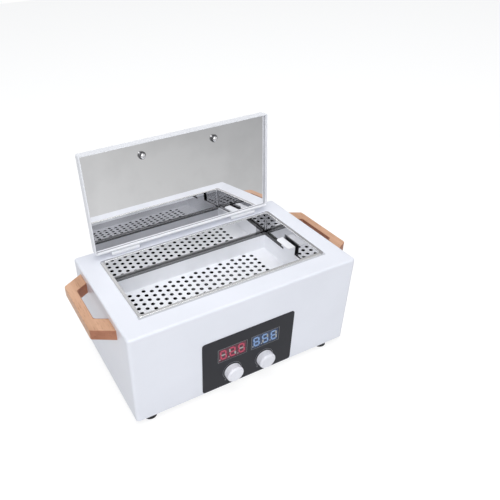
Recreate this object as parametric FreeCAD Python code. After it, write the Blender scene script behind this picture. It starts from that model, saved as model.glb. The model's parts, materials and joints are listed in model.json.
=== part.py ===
import FreeCAD, Part
import math
import os

from FreeCAD import Vector

# A dry heat sterilizer for the bench: a white steel case with a sunk steel chamber,
# a perforated tray, a hinged lid with a mirror liner, and a control panel in front.
# Millimetres, +X to the right, +Y to the rear, +Z up. The lid stands open at rest.

# Case
CASE_WIDTH = 300.0
CASE_DEPTH = 176.0
CASE_HEIGHT = 125.5
CASE_WALL = 1.0
CASE_CORNER_RADIUS = 4.0
CASE_EDGE_RADIUS = 2.6
CASE_LIP_WIDTH = 14.0
BOTTOM_THICKNESS = 1.2

# Feet
FOOT_HEIGHT = 7.0
FOOT_BASE_RADIUS = 8.8
FOOT_TOP_RADIUS = 9.4
FOOT_INSET_X = 25.0
FOOT_INSET_Y = 10.0
FOOT_OFFSET_X = -5.0
FOOT_RECESS_RADIUS = 4.6
FOOT_RECESS_DEPTH = 3.6

# Chamber, inside a band of case top
TOP_BAND_X = 29.5
TOP_BAND_Y = 31.0
CHAMBER_OFFSET_Y = 1.0
ROOM_BELOW_CHAMBER = 65.5
CHAMBER_CORNER_RADIUS = 2.5
CHAMBER_FLOOR_RADIUS = 2.0
SHEET = 0.8
FLANGE_WIDTH = 4.2
FLANGE_HEIGHT = 1.5
FLANGE_CORNER_RADIUS = 4.0
FLANGE_ROUND = 0.6

# Tray
TRAY_GAP_X = 2.6
TRAY_GAP_Y = 3.2
TRAY_RIM_SHARE = 0.525
REST_HEIGHT = 6.2
TRAY_CORNER_RADIUS = 2.0
TRAY_FLOOR_RADIUS = 1.0
HEM_HEIGHT = 2.4
HEM_WIDTH = 1.6
EAR_WIDTH = 28.0
EAR_RISE = 14.0
EAR_FOLD = 11.0
EAR_CORNER_RADIUS = 3.5
HOLE_RADIUS = 2.75
HOLE_ROW_PITCH = 9.84
HOLE_COLUMN_PITCH = 9.8
HOLE_COLUMN_DRIFT = 0.24
HOLE_EAR_MARGIN = 27.9
HOLE_FAR_MARGIN = 8.6
HOLE_SIDE_MARGIN = 4.6
REST_WIDTH = 7.0

# Lid, given closed and then turned open about its hinge
LID_OPEN_ANGLE = 95.3
LID_OVERLAP_X = 6.0
LID_OVERLAP_Y = 6.6
LID_HEIGHT = 13.0
LID_WALL = 1.5
LID_CORNER_RADIUS = 2.4
LID_EDGE_RADIUS = 1.8
LID_GAP = 1.0
LINER_DEPTH = 4.5
FIT = 0.3

# Hinges
HINGE_INSET = 39.5
HINGE_LENGTH = 38.0
HINGE_AXIS_BEHIND_LID = 3.8
KNUCKLE_RADIUS = 2.8
PIN_RADIUS = 1.2
RUNNING_FIT = 0.05
LEAF_THICKNESS = 1.2
LEAF_WIDTH = 12.6
STOP_REACH = 8.4
LEAF_HEIGHT = 7.0
KNUCKLE_SHARE = 1 / 3
LEAF_SCREW_SHARE = 0.64

# Wooden handles, the same bracket on both sides and on the lid
HANDLE_LENGTH = 120.6
HANDLE_GRIP_LENGTH = 90.0
HANDLE_REACH = 25.5
HANDLE_THICKNESS = 14.0
HANDLE_BAR = 11.0
HANDLE_LEG = 23.0
HANDLE_WINDOW_LENGTH = 57.6
HANDLE_CORNER_RADIUS = 4.0
HANDLE_WINDOW_RADIUS = 5.0
HANDLE_ROUND = 1.3
HANDLE_TOP_DROP = 9.6
HANDLE_OFFSET_Y = 4.8
HANDLE_BOLT_SPACING = 86.0
LID_HANDLE_EXTRA = 12.0
LID_HANDLE_INSET = 16.6
LID_HANDLE_THICKNESS = 12.0

# Control panel
PANEL_WIDTH = 127.4
PANEL_HEIGHT = 79.0
PANEL_THICKNESS = 0.6
PANEL_CORNER_RADIUS = 3.6
PANEL_LIFT = 1.3
DISPLAY_X = 23.0
DISPLAY_Z = 53.3
DISPLAY_WIDTH = 37.6
DISPLAY_HEIGHT = 19.0
DISPLAY_RECESS = 0.4
DIGIT_PITCH = 12.4
DIGIT_HEIGHT = 14.6
DIGIT_WIDTH = 8.8
DIGIT_SLANT = -6.0
SEGMENT_WIDTH = 2.0
SEGMENT_GAP = 0.25
SEGMENT_THICKNESS = 0.2
POINT_SIZE = 1.5
POINT_GAP = 0.4

# Knobs and rotary controls
KNOB_X = 23.0
KNOB_Z = 22.3
KNOB_RADIUS = 11.2
KNOB_HEIGHT = 9.5
KNOB_GAP = 0.6
KNOB_FLUTES = 46
KNOB_FLUTE_RADIUS = 0.5
KNOB_FACE_RADIUS = 10.0
KNOB_FACE_HEIGHT = 1.4
KNOB_WALL = 2.2
SHAFT_RADIUS = 3.0
BUSHING_RADIUS = 3.6
CONTROL_NUT_RADIUS = 5.5
CONTROL_NUT_HEIGHT = 2.0
CONTROL_WIDTH = 15.0

# Boards
BOARD_THICKNESS = 1.6
CONTROL_BOARD_DISTANCE = 8.2
CONTROL_BOARD_WIDTH = 116.0
CONTROL_BOARD_HEIGHT = 66.0
CONTROL_BOARD_Z = 41.0
POWER_BOARD_LENGTH = 110.0
POWER_BOARD_WIDTH = 66.0
POWER_BOARD_X = -30.0
POWER_BOARD_Y = 22.0
PILLAR_HEIGHT = 8.0
PILLAR_RADIUS = 2.8
PILLAR_INSET = 5.0
TRANSFORMER_LENGTH = 40.0
TRANSFORMER_WIDTH = 34.0
TRANSFORMER_HEIGHT = 25.0
TRANSFORMER_X = -28.0
CORE_SHARE = 0.6
RELAY_LENGTH = 28.0
RELAY_WIDTH = 12.5
RELAY_HEIGHT = 15.5
RELAY_X = 24.0

# Heating and its control
HEATER_THICKNESS = 4.0
HEATER_MARGIN = 8.0
CLAMP_THICKNESS = 2.0
CLAMP_WIDTH = 18.0
BLANKET_THICKNESS = 11.0
BLANKET_TOP_GAP = 1.0
CUTOUT_RADIUS = 8.0
CUTOUT_HEIGHT = 7.0
CUTOUT_X = -60.0
CUTOUT_GAP = 3.0
PROBE_RADIUS = 2.5
PROBE_LENGTH = 30.0
PROBE_X = 50.0

# Mains inlet and switch in the rear wall
INLET_FROM_SIDE = 58.0
INLET_Z = 28.0
INLET_WIDTH = 27.2
INLET_HEIGHT = 19.8
INLET_DEPTH = 20.0
INLET_SOCKET_DEPTH = 15.0
INLET_WALL = 1.8
INLET_FLANGE_WIDTH = 50.0
INLET_FLANGE_HEIGHT = 24.0
INLET_FLANGE_THICKNESS = 3.0
INLET_SCREW_SPACING = 40.0
INLET_CHAMFER = 4.5
BLADE_WIDTH = 2.0
BLADE_HEIGHT = 4.0
BLADE_REACH = 11.0
BLADE_TAIL = 8.0
BLADE_PITCH = 7.0
SWITCH_FROM_INLET = 48.0
SWITCH_WIDTH = 13.0
SWITCH_HEIGHT = 19.2
SWITCH_DEPTH = 14.0
SWITCH_BEZEL = 1.8
SWITCH_BEZEL_THICKNESS = 2.0
SWITCH_WALL = 1.4
ROCKER_TILT = 8.0
ROCKER_PIVOT_DEPTH = 4.0
ROCKER_REACH = 8.5
ROCKER_CLEAR = 0.7
ROCKER_PIN_RADIUS = 1.0

# Vents
SLOT_WIDTH = 3.0
SLOT_LENGTH = 26.0
SLOT_PITCH = 7.5
REAR_SLOTS = 12
REAR_SLOTS_FROM_SIDE = 80.0
REAR_SLOT_Z = 28.0
BOTTOM_SLOTS = 9
BOTTOM_SLOTS_FROM_SIDE = 72.0
SLOT_ROUND_SHARE = 0.49

# Screws
SCREW_RADIUS = 1.6
SCREW_HEAD_RADIUS = 3.0
SCREW_HEAD_HEIGHT = 1.8
SCREW_LENGTH = 6.0
SCREW_HOLE_CLEARANCE = 0.2
SLOT_DRIVE_WIDTH = 0.8
SLOT_DRIVE_DEPTH = 0.7
BOLT_RADIUS = 2.0
BOLT_IN_WOOD = 15.0
DOME_RADIUS = 4.2
DOME_BASE_RADIUS = 4.8
DOME_BASE_HEIGHT = 1.6
BOTTOM_SCREW_X = 50.0
BOTTOM_SCREW_INSET = 7.5

# Wiring looms
LOOM_RADIUS = 2.2
LOOM_BEND = 12.0
LEAD_RADIUS = 1.6
LEAD_PITCH = 14.0
LEAD_OFFSET = 15.0
RIBBON_WIDTH = 15.0
RIBBON_THICKNESS = 1.2
RIBBON_DROP = 14.0

OVERRUN = 5.0

# Levels and faces worked out from the sizes above
CASE_BOTTOM = FOOT_HEIGHT
CASE_TOP = CASE_BOTTOM + CASE_HEIGHT
FRONT = -CASE_DEPTH / 2
REAR = CASE_DEPTH / 2
SIDE = CASE_WIDTH / 2
PLATE_TOP = CASE_BOTTOM + BOTTOM_THICKNESS
INLET_X = SIDE - INLET_FROM_SIDE
SWITCH_X = INLET_X - SWITCH_FROM_INLET
REAR_SLOT_X = REAR_SLOTS_FROM_SIDE - SIDE
BOTTOM_SLOT_X = SIDE - BOTTOM_SLOTS_FROM_SIDE
CHAMBER_LENGTH = CASE_WIDTH - 2 * TOP_BAND_X
CHAMBER_WIDTH = CASE_DEPTH - 2 * TOP_BAND_Y
CHAMBER_FLOOR = CASE_BOTTOM + ROOM_BELOW_CHAMBER
TRAY_RIM = CHAMBER_FLOOR + TRAY_RIM_SHARE * (CASE_TOP - CHAMBER_FLOOR)
TRAY_BOTTOM = CHAMBER_FLOOR + REST_HEIGHT
TRAY_LENGTH = CHAMBER_LENGTH - 2 * TRAY_GAP_X
TRAY_WIDTH = CHAMBER_WIDTH - 2 * TRAY_GAP_Y
LID_LENGTH = CHAMBER_LENGTH + 2 * LID_OVERLAP_X
LID_WIDTH = CHAMBER_WIDTH + 2 * LID_OVERLAP_Y
LID_UNDERSIDE = CASE_TOP + LID_GAP
LID_TOP = LID_UNDERSIDE + LID_HEIGHT
LINER_FACE = LID_UNDERSIDE + LINER_DEPTH
LID_REAR = CHAMBER_OFFSET_Y + LID_WIDTH / 2
LID_FRONT = CHAMBER_OFFSET_Y - LID_WIDTH / 2
HINGE_Y = LID_REAR + HINGE_AXIS_BEHIND_LID
HINGE_Z = CASE_TOP + KNUCKLE_RADIUS + FIT
HINGE_X = LID_LENGTH / 2 - HINGE_INSET
PANEL_FACE = FRONT - PANEL_THICKNESS
PANEL_BOTTOM = CASE_BOTTOM + PANEL_LIFT
DISPLAY_LEVEL = CASE_BOTTOM + DISPLAY_Z
DISPLAY_FACE = PANEL_FACE + DISPLAY_RECESS
KNOB_LEVEL = CASE_BOTTOM + KNOB_Z
CONTROL_BOARD_FRONT = FRONT + CONTROL_BOARD_DISTANCE
CONTROL_BOARD_BACK = CONTROL_BOARD_FRONT + BOARD_THICKNESS
CONTROL_BOARD_LEVEL = CASE_BOTTOM + CONTROL_BOARD_Z
POWER_BOARD_BOTTOM = PLATE_TOP + PILLAR_HEIGHT
POWER_BOARD_TOP = POWER_BOARD_BOTTOM + BOARD_THICKNESS
HEATER_TOP = CHAMBER_FLOOR - SHEET
HEATER_BOTTOM = HEATER_TOP - HEATER_THICKNESS
CLAMP_BOTTOM = HEATER_BOTTOM - CLAMP_THICKNESS
HANDLE_LEVEL = CASE_TOP - HANDLE_TOP_DROP - HANDLE_THICKNESS / 2
INLET_LEVEL = CASE_BOTTOM + INLET_Z
ROCKER_PIVOT_Y = REAR + SWITCH_BEZEL_THICKNESS - ROCKER_PIVOT_DEPTH
ROCKER_PIN_LENGTH = SWITCH_WIDTH - SWITCH_WALL
REAR_SLOT_LEVEL = CASE_BOTTOM + REAR_SLOT_Z

SCREW_HOLE = SCREW_RADIUS + SCREW_HOLE_CLEARANCE
BOLT_HOLE = BOLT_RADIUS + SCREW_HOLE_CLEARANCE

LEFT = -1
RIGHT = 1
BOTH = (LEFT, RIGHT)

X_AXIS = Vector(1, 0, 0)
Y_AXIS = Vector(0, 1, 0)
Z_AXIS = Vector(0, 0, 1)


# Small helpers
def span(centre, size):
    """The two limits of a size about its centre."""
    return (centre - size / 2, centre + size / 2)


def grown(limits, amount):
    """Limits moved apart by the same amount at both ends."""
    return (limits[0] - amount, limits[1] + amount)


def block(x, y, z):
    """A box between pairs of limits."""
    return Part.makeBox(x[1] - x[0], y[1] - y[0], z[1] - z[0], Vector(x[0], y[0], z[0]))


def rod(radius, x, y, z, axis, length):
    """A round bar from a point along an axis."""
    return Part.makeCylinder(radius, length, Vector(x, y, z), axis)


def edges_along(shape, axis):
    """The straight edges that run along an axis."""
    found = []
    for edge in shape.Edges:
        if isinstance(edge.Curve, Part.Line) and abs(edge.Curve.Direction.dot(axis)) > 0.999:
            found.append(edge)
    return found


def edges_at(shape, axis, level):
    """The edges that lie in the plane at a level along an axis."""
    found = []
    for edge in shape.Edges:
        ends = [vertex.Point.dot(axis) for vertex in edge.Vertexes]
        ends.append(edge.CenterOfMass.dot(axis))
        if all(abs(end - level) < FIT / 100 for end in ends):
            found.append(edge)
    return found


def rounded_block(x, y, z, radius, axis=Z_AXIS):
    """A box whose four edges along one axis are round."""
    shape = block(x, y, z)
    return shape.makeFillet(radius, edges_along(shape, axis))


def softened(shape, axis, level, radius):
    """The shape with every edge at one level rounded."""
    return shape.makeFillet(radius, edges_at(shape, axis, level))


def joined(shapes):
    """One solid out of several that meet."""
    first = shapes[0]
    whole = first.fuse(list(shapes[1:]))
    return whole.removeSplitter()


def group(shapes):
    """Several separate solids in one node."""
    return Part.makeCompound(list(shapes))


def opened(shape):
    """A piece of the closed lid turned up to its open place."""
    turned = shape.copy()
    turned.rotate(Vector(0, HINGE_Y, HINGE_Z), X_AXIS, -LID_OPEN_ANGLE)
    return turned


def pan_screw(length, radius=SCREW_RADIUS, head=SCREW_HEAD_RADIUS):
    """A screw that points down from the origin, its head above, with a slotted drive."""
    shank = rod(radius, 0, 0, -length, Z_AXIS, length)
    top = rod(head, 0, 0, 0, Z_AXIS, SCREW_HEAD_HEIGHT)
    top = softened(top, Z_AXIS, SCREW_HEAD_HEIGHT, SCREW_HEAD_HEIGHT / 3)
    slot_level = (SCREW_HEAD_HEIGHT - SLOT_DRIVE_DEPTH, SCREW_HEAD_HEIGHT + FIT)
    slot = block(span(0, 2 * head + FIT), span(0, SLOT_DRIVE_WIDTH), slot_level)
    return shank.fuse(top).cut(slot)


def turned_to(shape, direction):
    """A piece made pointing up, turned so that up becomes a direction."""
    placed = shape.copy()
    turn = FreeCAD.Rotation(Z_AXIS, direction)
    placed.Placement = FreeCAD.Placement(Vector(0, 0, 0), turn)
    return placed


def moved(shape, x, y, z):
    """A copy of the piece moved by three distances."""
    placed = shape.copy()
    placed.translate(Vector(x, y, z))
    return placed


def corners(x, y):
    """The four places at plus and minus two distances."""
    return [(side * x, end * y) for side in BOTH for end in BOTH]


# Places that several pieces share
FOOT_PLACES = [(x + FOOT_OFFSET_X, y) for x, y in corners(SIDE - FOOT_INSET_X, REAR - FOOT_INSET_Y)]
BOTTOM_SCREW_PLACES = corners(BOTTOM_SCREW_X, REAR - BOTTOM_SCREW_INSET)
CONTROL_PILLAR_X = CONTROL_BOARD_WIDTH / 2 - PILLAR_INSET
CONTROL_PILLAR_Z = CONTROL_BOARD_HEIGHT / 2 - PILLAR_INSET
CONTROL_PILLAR_PLACES = corners(CONTROL_PILLAR_X, CONTROL_PILLAR_Z)
POWER_PILLAR_X = POWER_BOARD_LENGTH / 2 - PILLAR_INSET
POWER_PILLAR_Y = POWER_BOARD_WIDTH / 2 - PILLAR_INSET
POWER_PILLAR_PLACES = corners(POWER_PILLAR_X, POWER_PILLAR_Y)


# Case and bottom
def case_hollow():
    """The space inside the case, without its lip."""
    x = span(0, CASE_WIDTH - 2 * CASE_WALL)
    y = span(0, CASE_DEPTH - 2 * CASE_WALL)
    level = (CASE_BOTTOM - OVERRUN, CASE_TOP - CASE_WALL)
    hollow = rounded_block(x, y, level, CASE_CORNER_RADIUS - CASE_WALL)
    return softened(hollow, Z_AXIS, CASE_TOP - CASE_WALL, CASE_EDGE_RADIUS - CASE_WALL)


def case_lip():
    """The lip folded inwards round the bottom of the case, which the bottom plate is screwed to."""
    level = (PLATE_TOP, PLATE_TOP + CASE_WALL)
    outside_x = span(0, CASE_WIDTH - CASE_WALL)
    outside_y = span(0, CASE_DEPTH - CASE_WALL)
    outside = rounded_block(outside_x, outside_y, level, CASE_CORNER_RADIUS)
    inside_x = span(0, CASE_WIDTH - 2 * CASE_LIP_WIDTH)
    inside_y = span(0, CASE_DEPTH - 2 * CASE_LIP_WIDTH)
    lip = outside.cut(block(inside_x, inside_y, grown(level, FIT)))
    for x, y in FOOT_PLACES + BOTTOM_SCREW_PLACES:
        lip = lip.cut(rod(SCREW_HOLE, x, y, PLATE_TOP - FIT, Z_AXIS, CASE_WALL + 2 * FIT))
    return lip


def case_windows():
    """Everything cut through the walls of the case."""
    wall = CASE_WALL + 2 * FIT
    mouth_x = span(0, CHAMBER_LENGTH + 2 * (SHEET + FIT))
    mouth_y = span(CHAMBER_OFFSET_Y, CHAMBER_WIDTH + 2 * (SHEET + FIT))
    mouth_level = (CASE_TOP - wall, CASE_TOP + FIT)
    tools = [rounded_block(mouth_x, mouth_y, mouth_level, CHAMBER_CORNER_RADIUS + SHEET + FIT)]
    front = (FRONT - FIT, FRONT - FIT + wall)
    rear = (REAR + FIT - wall, REAR + FIT)
    for side in BOTH:
        x = span(side * DISPLAY_X, DISPLAY_WIDTH + 2 * FIT)
        tools.append(block(x, front, span(DISPLAY_LEVEL, DISPLAY_HEIGHT + 2 * FIT)))
        tools.append(rod(BUSHING_RADIUS + FIT, side * KNOB_X, FRONT - FIT, KNOB_LEVEL, Y_AXIS, wall))
        for end in BOTH:
            y = HANDLE_OFFSET_Y + end * HANDLE_BOLT_SPACING / 2
            x = side * (SIDE - CASE_WALL - FIT)
            tools.append(rod(BOLT_HOLE, x, y, HANDLE_LEVEL, X_AXIS * side, wall))
    tools.append(block(span(INLET_X, INLET_WIDTH + FIT), rear, span(INLET_LEVEL, INLET_HEIGHT + FIT)))
    tools.append(block(span(SWITCH_X, SWITCH_WIDTH + FIT), rear, span(INLET_LEVEL, SWITCH_HEIGHT + FIT)))
    for end in BOTH:
        x = INLET_X + end * INLET_SCREW_SPACING / 2
        tools.append(rod(SCREW_HOLE, x, REAR - wall, INLET_LEVEL, Y_AXIS, wall + FIT))
    for index in range(REAR_SLOTS):
        x = REAR_SLOT_X + (index - (REAR_SLOTS - 1) / 2) * SLOT_PITCH
        slot_z = span(REAR_SLOT_LEVEL, SLOT_LENGTH)
        radius = SLOT_WIDTH * SLOT_ROUND_SHARE
        tools.append(rounded_block(span(x, SLOT_WIDTH), rear, slot_z, radius, Y_AXIS))
    for x, y in hinge_base_screw_places():
        tools.append(rod(SCREW_HOLE, x, y, CASE_TOP - wall, Z_AXIS, wall + FIT))
    return tools


def case_shell():
    level = (CASE_BOTTOM, CASE_TOP)
    outside = rounded_block(span(0, CASE_WIDTH), span(0, CASE_DEPTH), level, CASE_CORNER_RADIUS)
    outside = softened(outside, Z_AXIS, CASE_TOP, CASE_EDGE_RADIUS)
    shell = outside.cut(case_hollow())
    shell = shell.fuse(case_lip())
    shell = shell.removeSplitter()
    return shell.cut(case_windows())


def bottom_plate():
    x = span(0, CASE_WIDTH - 2 * (CASE_WALL + FIT))
    y = span(0, CASE_DEPTH - 2 * (CASE_WALL + FIT))
    level = (CASE_BOTTOM, PLATE_TOP)
    plate = rounded_block(x, y, level, CASE_CORNER_RADIUS - CASE_WALL)
    through = grown(level, FIT)
    tools = []
    for px, py in FOOT_PLACES + BOTTOM_SCREW_PLACES:
        tools.append(rod(SCREW_HOLE, px, py, through[0], Z_AXIS, through[1] - through[0]))
    for index in range(BOTTOM_SLOTS):
        for end in BOTH:
            sx = span(BOTTOM_SLOT_X + (index - (BOTTOM_SLOTS - 1) / 2) * SLOT_PITCH, SLOT_WIDTH)
            sy = span(end * SLOT_LENGTH, SLOT_LENGTH)
            tools.append(rounded_block(sx, sy, through, SLOT_WIDTH * SLOT_ROUND_SHARE))
    return plate.cut(tools)


def bottom_screws():
    screw = turned_to(pan_screw(SCREW_LENGTH), -Z_AXIS)
    return group([moved(screw, x, y, CASE_BOTTOM) for x, y in BOTTOM_SCREW_PLACES])


def rubber_feet():
    body = Part.makeCone(FOOT_BASE_RADIUS, FOOT_TOP_RADIUS, FOOT_HEIGHT)
    body = softened(body, Z_AXIS, 0, FOOT_HEIGHT / 8)
    body = body.cut(rod(FOOT_RECESS_RADIUS, 0, 0, -FIT, Z_AXIS, FOOT_RECESS_DEPTH + FIT))
    body = body.cut(rod(SCREW_HOLE, 0, 0, 0, Z_AXIS, FOOT_HEIGHT + FIT))
    return group([moved(body, x, y, 0) for x, y in FOOT_PLACES])


def foot_screws():
    length = FOOT_HEIGHT - FOOT_RECESS_DEPTH + BOTTOM_THICKNESS + SCREW_LENGTH
    screw = turned_to(pan_screw(length), -Z_AXIS)
    return group([moved(screw, x, y, FOOT_RECESS_DEPTH) for x, y in FOOT_PLACES])


# Chamber and what heats it
def basin_sides(margin):
    """The limits of the chamber in X and Y, grown by a margin."""
    return span(0, CHAMBER_LENGTH + 2 * margin), span(CHAMBER_OFFSET_Y, CHAMBER_WIDTH + 2 * margin)


def basin_block(margin, level):
    """A block of the chamber's outline, grown by a margin."""
    x, y = basin_sides(margin)
    return rounded_block(x, y, level, CHAMBER_CORNER_RADIUS + margin)


def chamber_basin():
    body = basin_block(SHEET, (CHAMBER_FLOOR - SHEET, CASE_TOP + FLANGE_HEIGHT))
    body = softened(body, Z_AXIS, CHAMBER_FLOOR - SHEET, CHAMBER_FLOOR_RADIUS + SHEET)
    flange_x, flange_y = basin_sides(FLANGE_WIDTH)
    flange_level = (CASE_TOP, CASE_TOP + FLANGE_HEIGHT)
    flange = rounded_block(flange_x, flange_y, flange_level, FLANGE_CORNER_RADIUS)
    flange = softened(flange, Z_AXIS, CASE_TOP + FLANGE_HEIGHT, FLANGE_ROUND)
    hollow = basin_block(0, (CHAMBER_FLOOR, CASE_TOP + FLANGE_HEIGHT + OVERRUN))
    hollow = softened(hollow, Z_AXIS, CHAMBER_FLOOR, CHAMBER_FLOOR_RADIUS)
    basin = body.fuse(flange).removeSplitter().cut(hollow)
    return softened(basin, Z_AXIS, CASE_TOP + FLANGE_HEIGHT, FLANGE_ROUND)


def tray_rests():
    """Two folded channels across the chamber floor that the tray stands on."""
    length = CHAMBER_WIDTH - 2 * CHAMBER_CORNER_RADIUS
    level = (CHAMBER_FLOOR, CHAMBER_FLOOR + REST_HEIGHT)
    inside_level = (CHAMBER_FLOOR - FIT, CHAMBER_FLOOR + REST_HEIGHT - SHEET)
    rests = []
    for side in BOTH:
        x = side * (TRAY_LENGTH / 2 - REST_WIDTH / 2 - TRAY_CORNER_RADIUS)
        y = span(CHAMBER_OFFSET_Y, length)
        channel = block(span(x, REST_WIDTH), y, level)
        inside = block(span(x, REST_WIDTH - 2 * SHEET), grown(y, FIT), inside_level)
        rests.append(channel.cut(inside))
    return group(rests)


def heater_plate():
    x = span(0, CHAMBER_LENGTH - 2 * HEATER_MARGIN)
    y = span(CHAMBER_OFFSET_Y, CHAMBER_WIDTH - 2 * HEATER_MARGIN)
    return rounded_block(x, y, (HEATER_BOTTOM, HEATER_TOP), CHAMBER_CORNER_RADIUS)


def heater_clamp():
    """A pressed bar along the heater that holds it up against the chamber."""
    x = span(0, CHAMBER_LENGTH - 4 * HEATER_MARGIN)
    bar = block(x, span(CHAMBER_OFFSET_Y, CLAMP_WIDTH), (CLAMP_BOTTOM, HEATER_BOTTOM))
    groove_y = span(CHAMBER_OFFSET_Y, CLAMP_WIDTH / 2)
    groove_z = (CLAMP_BOTTOM - FIT, CLAMP_BOTTOM + CLAMP_THICKNESS / 2)
    groove = block(grown(x, -CLAMP_WIDTH), groove_y, groove_z)
    return bar.cut(groove)


def thermal_cutout():
    """A snap disc that cuts the heater off, flat against the heater plate."""
    y = CHAMBER_OFFSET_Y + CLAMP_WIDTH / 2 + CUTOUT_RADIUS + CUTOUT_GAP
    disc = rod(CUTOUT_RADIUS, CUTOUT_X, y, HEATER_BOTTOM - CUTOUT_HEIGHT, Z_AXIS, CUTOUT_HEIGHT)
    rim_level = (HEATER_BOTTOM - SHEET, HEATER_BOTTOM)
    rim = block(span(CUTOUT_X, 3 * CUTOUT_RADIUS), span(y, CUTOUT_RADIUS), rim_level)
    return joined([disc, rim])


def temperature_probe():
    """A sheathed probe lying in a clip against the heater plate."""
    y = CHAMBER_OFFSET_Y - CLAMP_WIDTH
    level = HEATER_BOTTOM - SHEET - PROBE_RADIUS
    probe = rod(PROBE_RADIUS, PROBE_X, y, level, X_AXIS, PROBE_LENGTH)
    foot_x = (PROBE_X + PROBE_LENGTH / 4, PROBE_X + PROBE_LENGTH / 2)
    foot = block(foot_x, span(y, 4 * PROBE_RADIUS), (HEATER_BOTTOM - SHEET, HEATER_BOTTOM))
    saddle = block(foot_x, span(y, 2 * PROBE_RADIUS), (level, HEATER_BOTTOM))
    return joined([probe, foot, saddle])


def heater_lead_places():
    x = POWER_BOARD_X + RELAY_X
    return [(x + side * LEAD_PITCH / 2, POWER_BOARD_Y + LEAD_OFFSET) for side in BOTH]


def insulation_blanket():
    """A stiff blanket round the chamber walls and under the heater, with pockets for what it covers."""
    bottom = CLAMP_BOTTOM - CUTOUT_HEIGHT - BLANKET_THICKNESS
    top = CASE_TOP - CASE_WALL - BLANKET_TOP_GAP
    outside = basin_block(SHEET + FIT + BLANKET_THICKNESS, (bottom, top))
    well = basin_block(SHEET + FIT, (HEATER_BOTTOM, top + FIT))
    pocket_x = span(0, CHAMBER_LENGTH - 2 * HEATER_MARGIN)
    pocket_y = span(CHAMBER_OFFSET_Y, CHAMBER_WIDTH - 2 * HEATER_MARGIN)
    pocket = block(pocket_x, pocket_y, (bottom + BLANKET_THICKNESS, HEATER_BOTTOM + FIT))
    tools = [well, pocket]
    for x, y in heater_lead_places():
        tools.append(rod(LEAD_RADIUS + FIT, x, y, bottom - FIT, Z_AXIS, BLANKET_THICKNESS + 2 * FIT))
    return outside.cut(tools)


# Tray
def tray_block(margin, level):
    x = span(0, TRAY_LENGTH - 2 * margin)
    y = span(CHAMBER_OFFSET_Y, TRAY_WIDTH - 2 * margin)
    return rounded_block(x, y, level, TRAY_CORNER_RADIUS - margin)


def tray_ear():
    """The lifting ear: the right end wall raised in the middle and folded inwards."""
    outer = TRAY_LENGTH / 2
    top = TRAY_RIM + EAR_RISE
    y = span(CHAMBER_OFFSET_Y, EAR_WIDTH)
    riser = block((outer - SHEET, outer), y, (TRAY_RIM - SHEET, top))
    fold = block((outer - EAR_FOLD, outer), y, (top - SHEET, top))
    inner_edges = [edge for edge in edges_along(fold, Z_AXIS) if edge.CenterOfMass.x < outer - EAR_FOLD / 2]
    fold = fold.makeFillet(EAR_CORNER_RADIUS, inner_edges)
    return riser, fold


def tray_holes():
    """The staggered holes, with a wide plain margin at the ear end.

    The rows run a little askew: each column starts slightly nearer the front than the one on its right.
    """
    right = TRAY_LENGTH / 2 - HOLE_EAR_MARGIN
    left = -TRAY_LENGTH / 2 + HOLE_FAR_MARGIN
    back = CHAMBER_OFFSET_Y + TRAY_WIDTH / 2 - HOLE_SIDE_MARGIN
    front = CHAMBER_OFFSET_Y - TRAY_WIDTH / 2 + HOLE_SIDE_MARGIN
    holes = []
    columns = int((right - left) / HOLE_COLUMN_PITCH) + 1
    for column in range(columns):
        x = right - column * HOLE_COLUMN_PITCH
        start = back - (column + 1) % 2 * HOLE_ROW_PITCH / 2 - column * HOLE_COLUMN_DRIFT
        rows = int((start - front) / HOLE_ROW_PITCH) + 1
        for row in range(rows):
            y = start - row * HOLE_ROW_PITCH
            holes.append(rod(HOLE_RADIUS, x, y, TRAY_BOTTOM - FIT, Z_AXIS, SHEET + 2 * FIT))
    return holes


def tray():
    body = tray_block(0, (TRAY_BOTTOM, TRAY_RIM))
    body = softened(body, Z_AXIS, TRAY_BOTTOM, TRAY_FLOOR_RADIUS + SHEET)
    hollow = tray_block(SHEET, (TRAY_BOTTOM + SHEET, TRAY_RIM + OVERRUN))
    hollow = softened(hollow, Z_AXIS, TRAY_BOTTOM + SHEET, TRAY_FLOOR_RADIUS)
    hem = tray_block(-HEM_WIDTH, (TRAY_RIM - HEM_HEIGHT, TRAY_RIM))
    body = body.fuse(hem).cut(hollow)
    riser, fold = tray_ear()
    body = joined([body, riser, fold])
    return body.cut(tray_holes())


# Lid, made closed
def lid_block(margin, level):
    x = span(0, LID_LENGTH - 2 * margin)
    y = span(CHAMBER_OFFSET_Y, LID_WIDTH - 2 * margin)
    return rounded_block(x, y, level, LID_CORNER_RADIUS - margin)


def lid_bolt_places():
    y = LID_FRONT + LID_HANDLE_INSET
    return [(side * (HANDLE_BOLT_SPACING + LID_HANDLE_EXTRA) / 2, y) for side in BOTH]


def lid_bolt_holes(level):
    length = level[1] - level[0] + 2 * FIT
    return [rod(BOLT_HOLE, x, y, level[0] - FIT, Z_AXIS, length) for x, y in lid_bolt_places()]


def lid_shell():
    skin = (LID_TOP - LID_WALL, LID_TOP)
    pan = softened(lid_block(0, (LID_UNDERSIDE, LID_TOP)), Z_AXIS, LID_TOP, LID_EDGE_RADIUS)
    hollow = lid_block(LID_WALL, (LID_UNDERSIDE - FIT, skin[0]))
    hollow = softened(hollow, Z_AXIS, skin[0], LID_EDGE_RADIUS - LID_WALL)
    tools = [hollow] + lid_bolt_holes(skin)
    for x, z in leaf_screw_places():
        tools.append(rod(SCREW_HOLE, x, LID_REAR - LID_WALL - FIT, z, Y_AXIS, LID_WALL + 2 * FIT))
    return opened(pan.cut(tools))


def lid_liner():
    level = (LINER_FACE, LINER_FACE + SHEET)
    return opened(lid_block(LID_WALL + FIT / 2, level).cut(lid_bolt_holes(level)))


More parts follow.
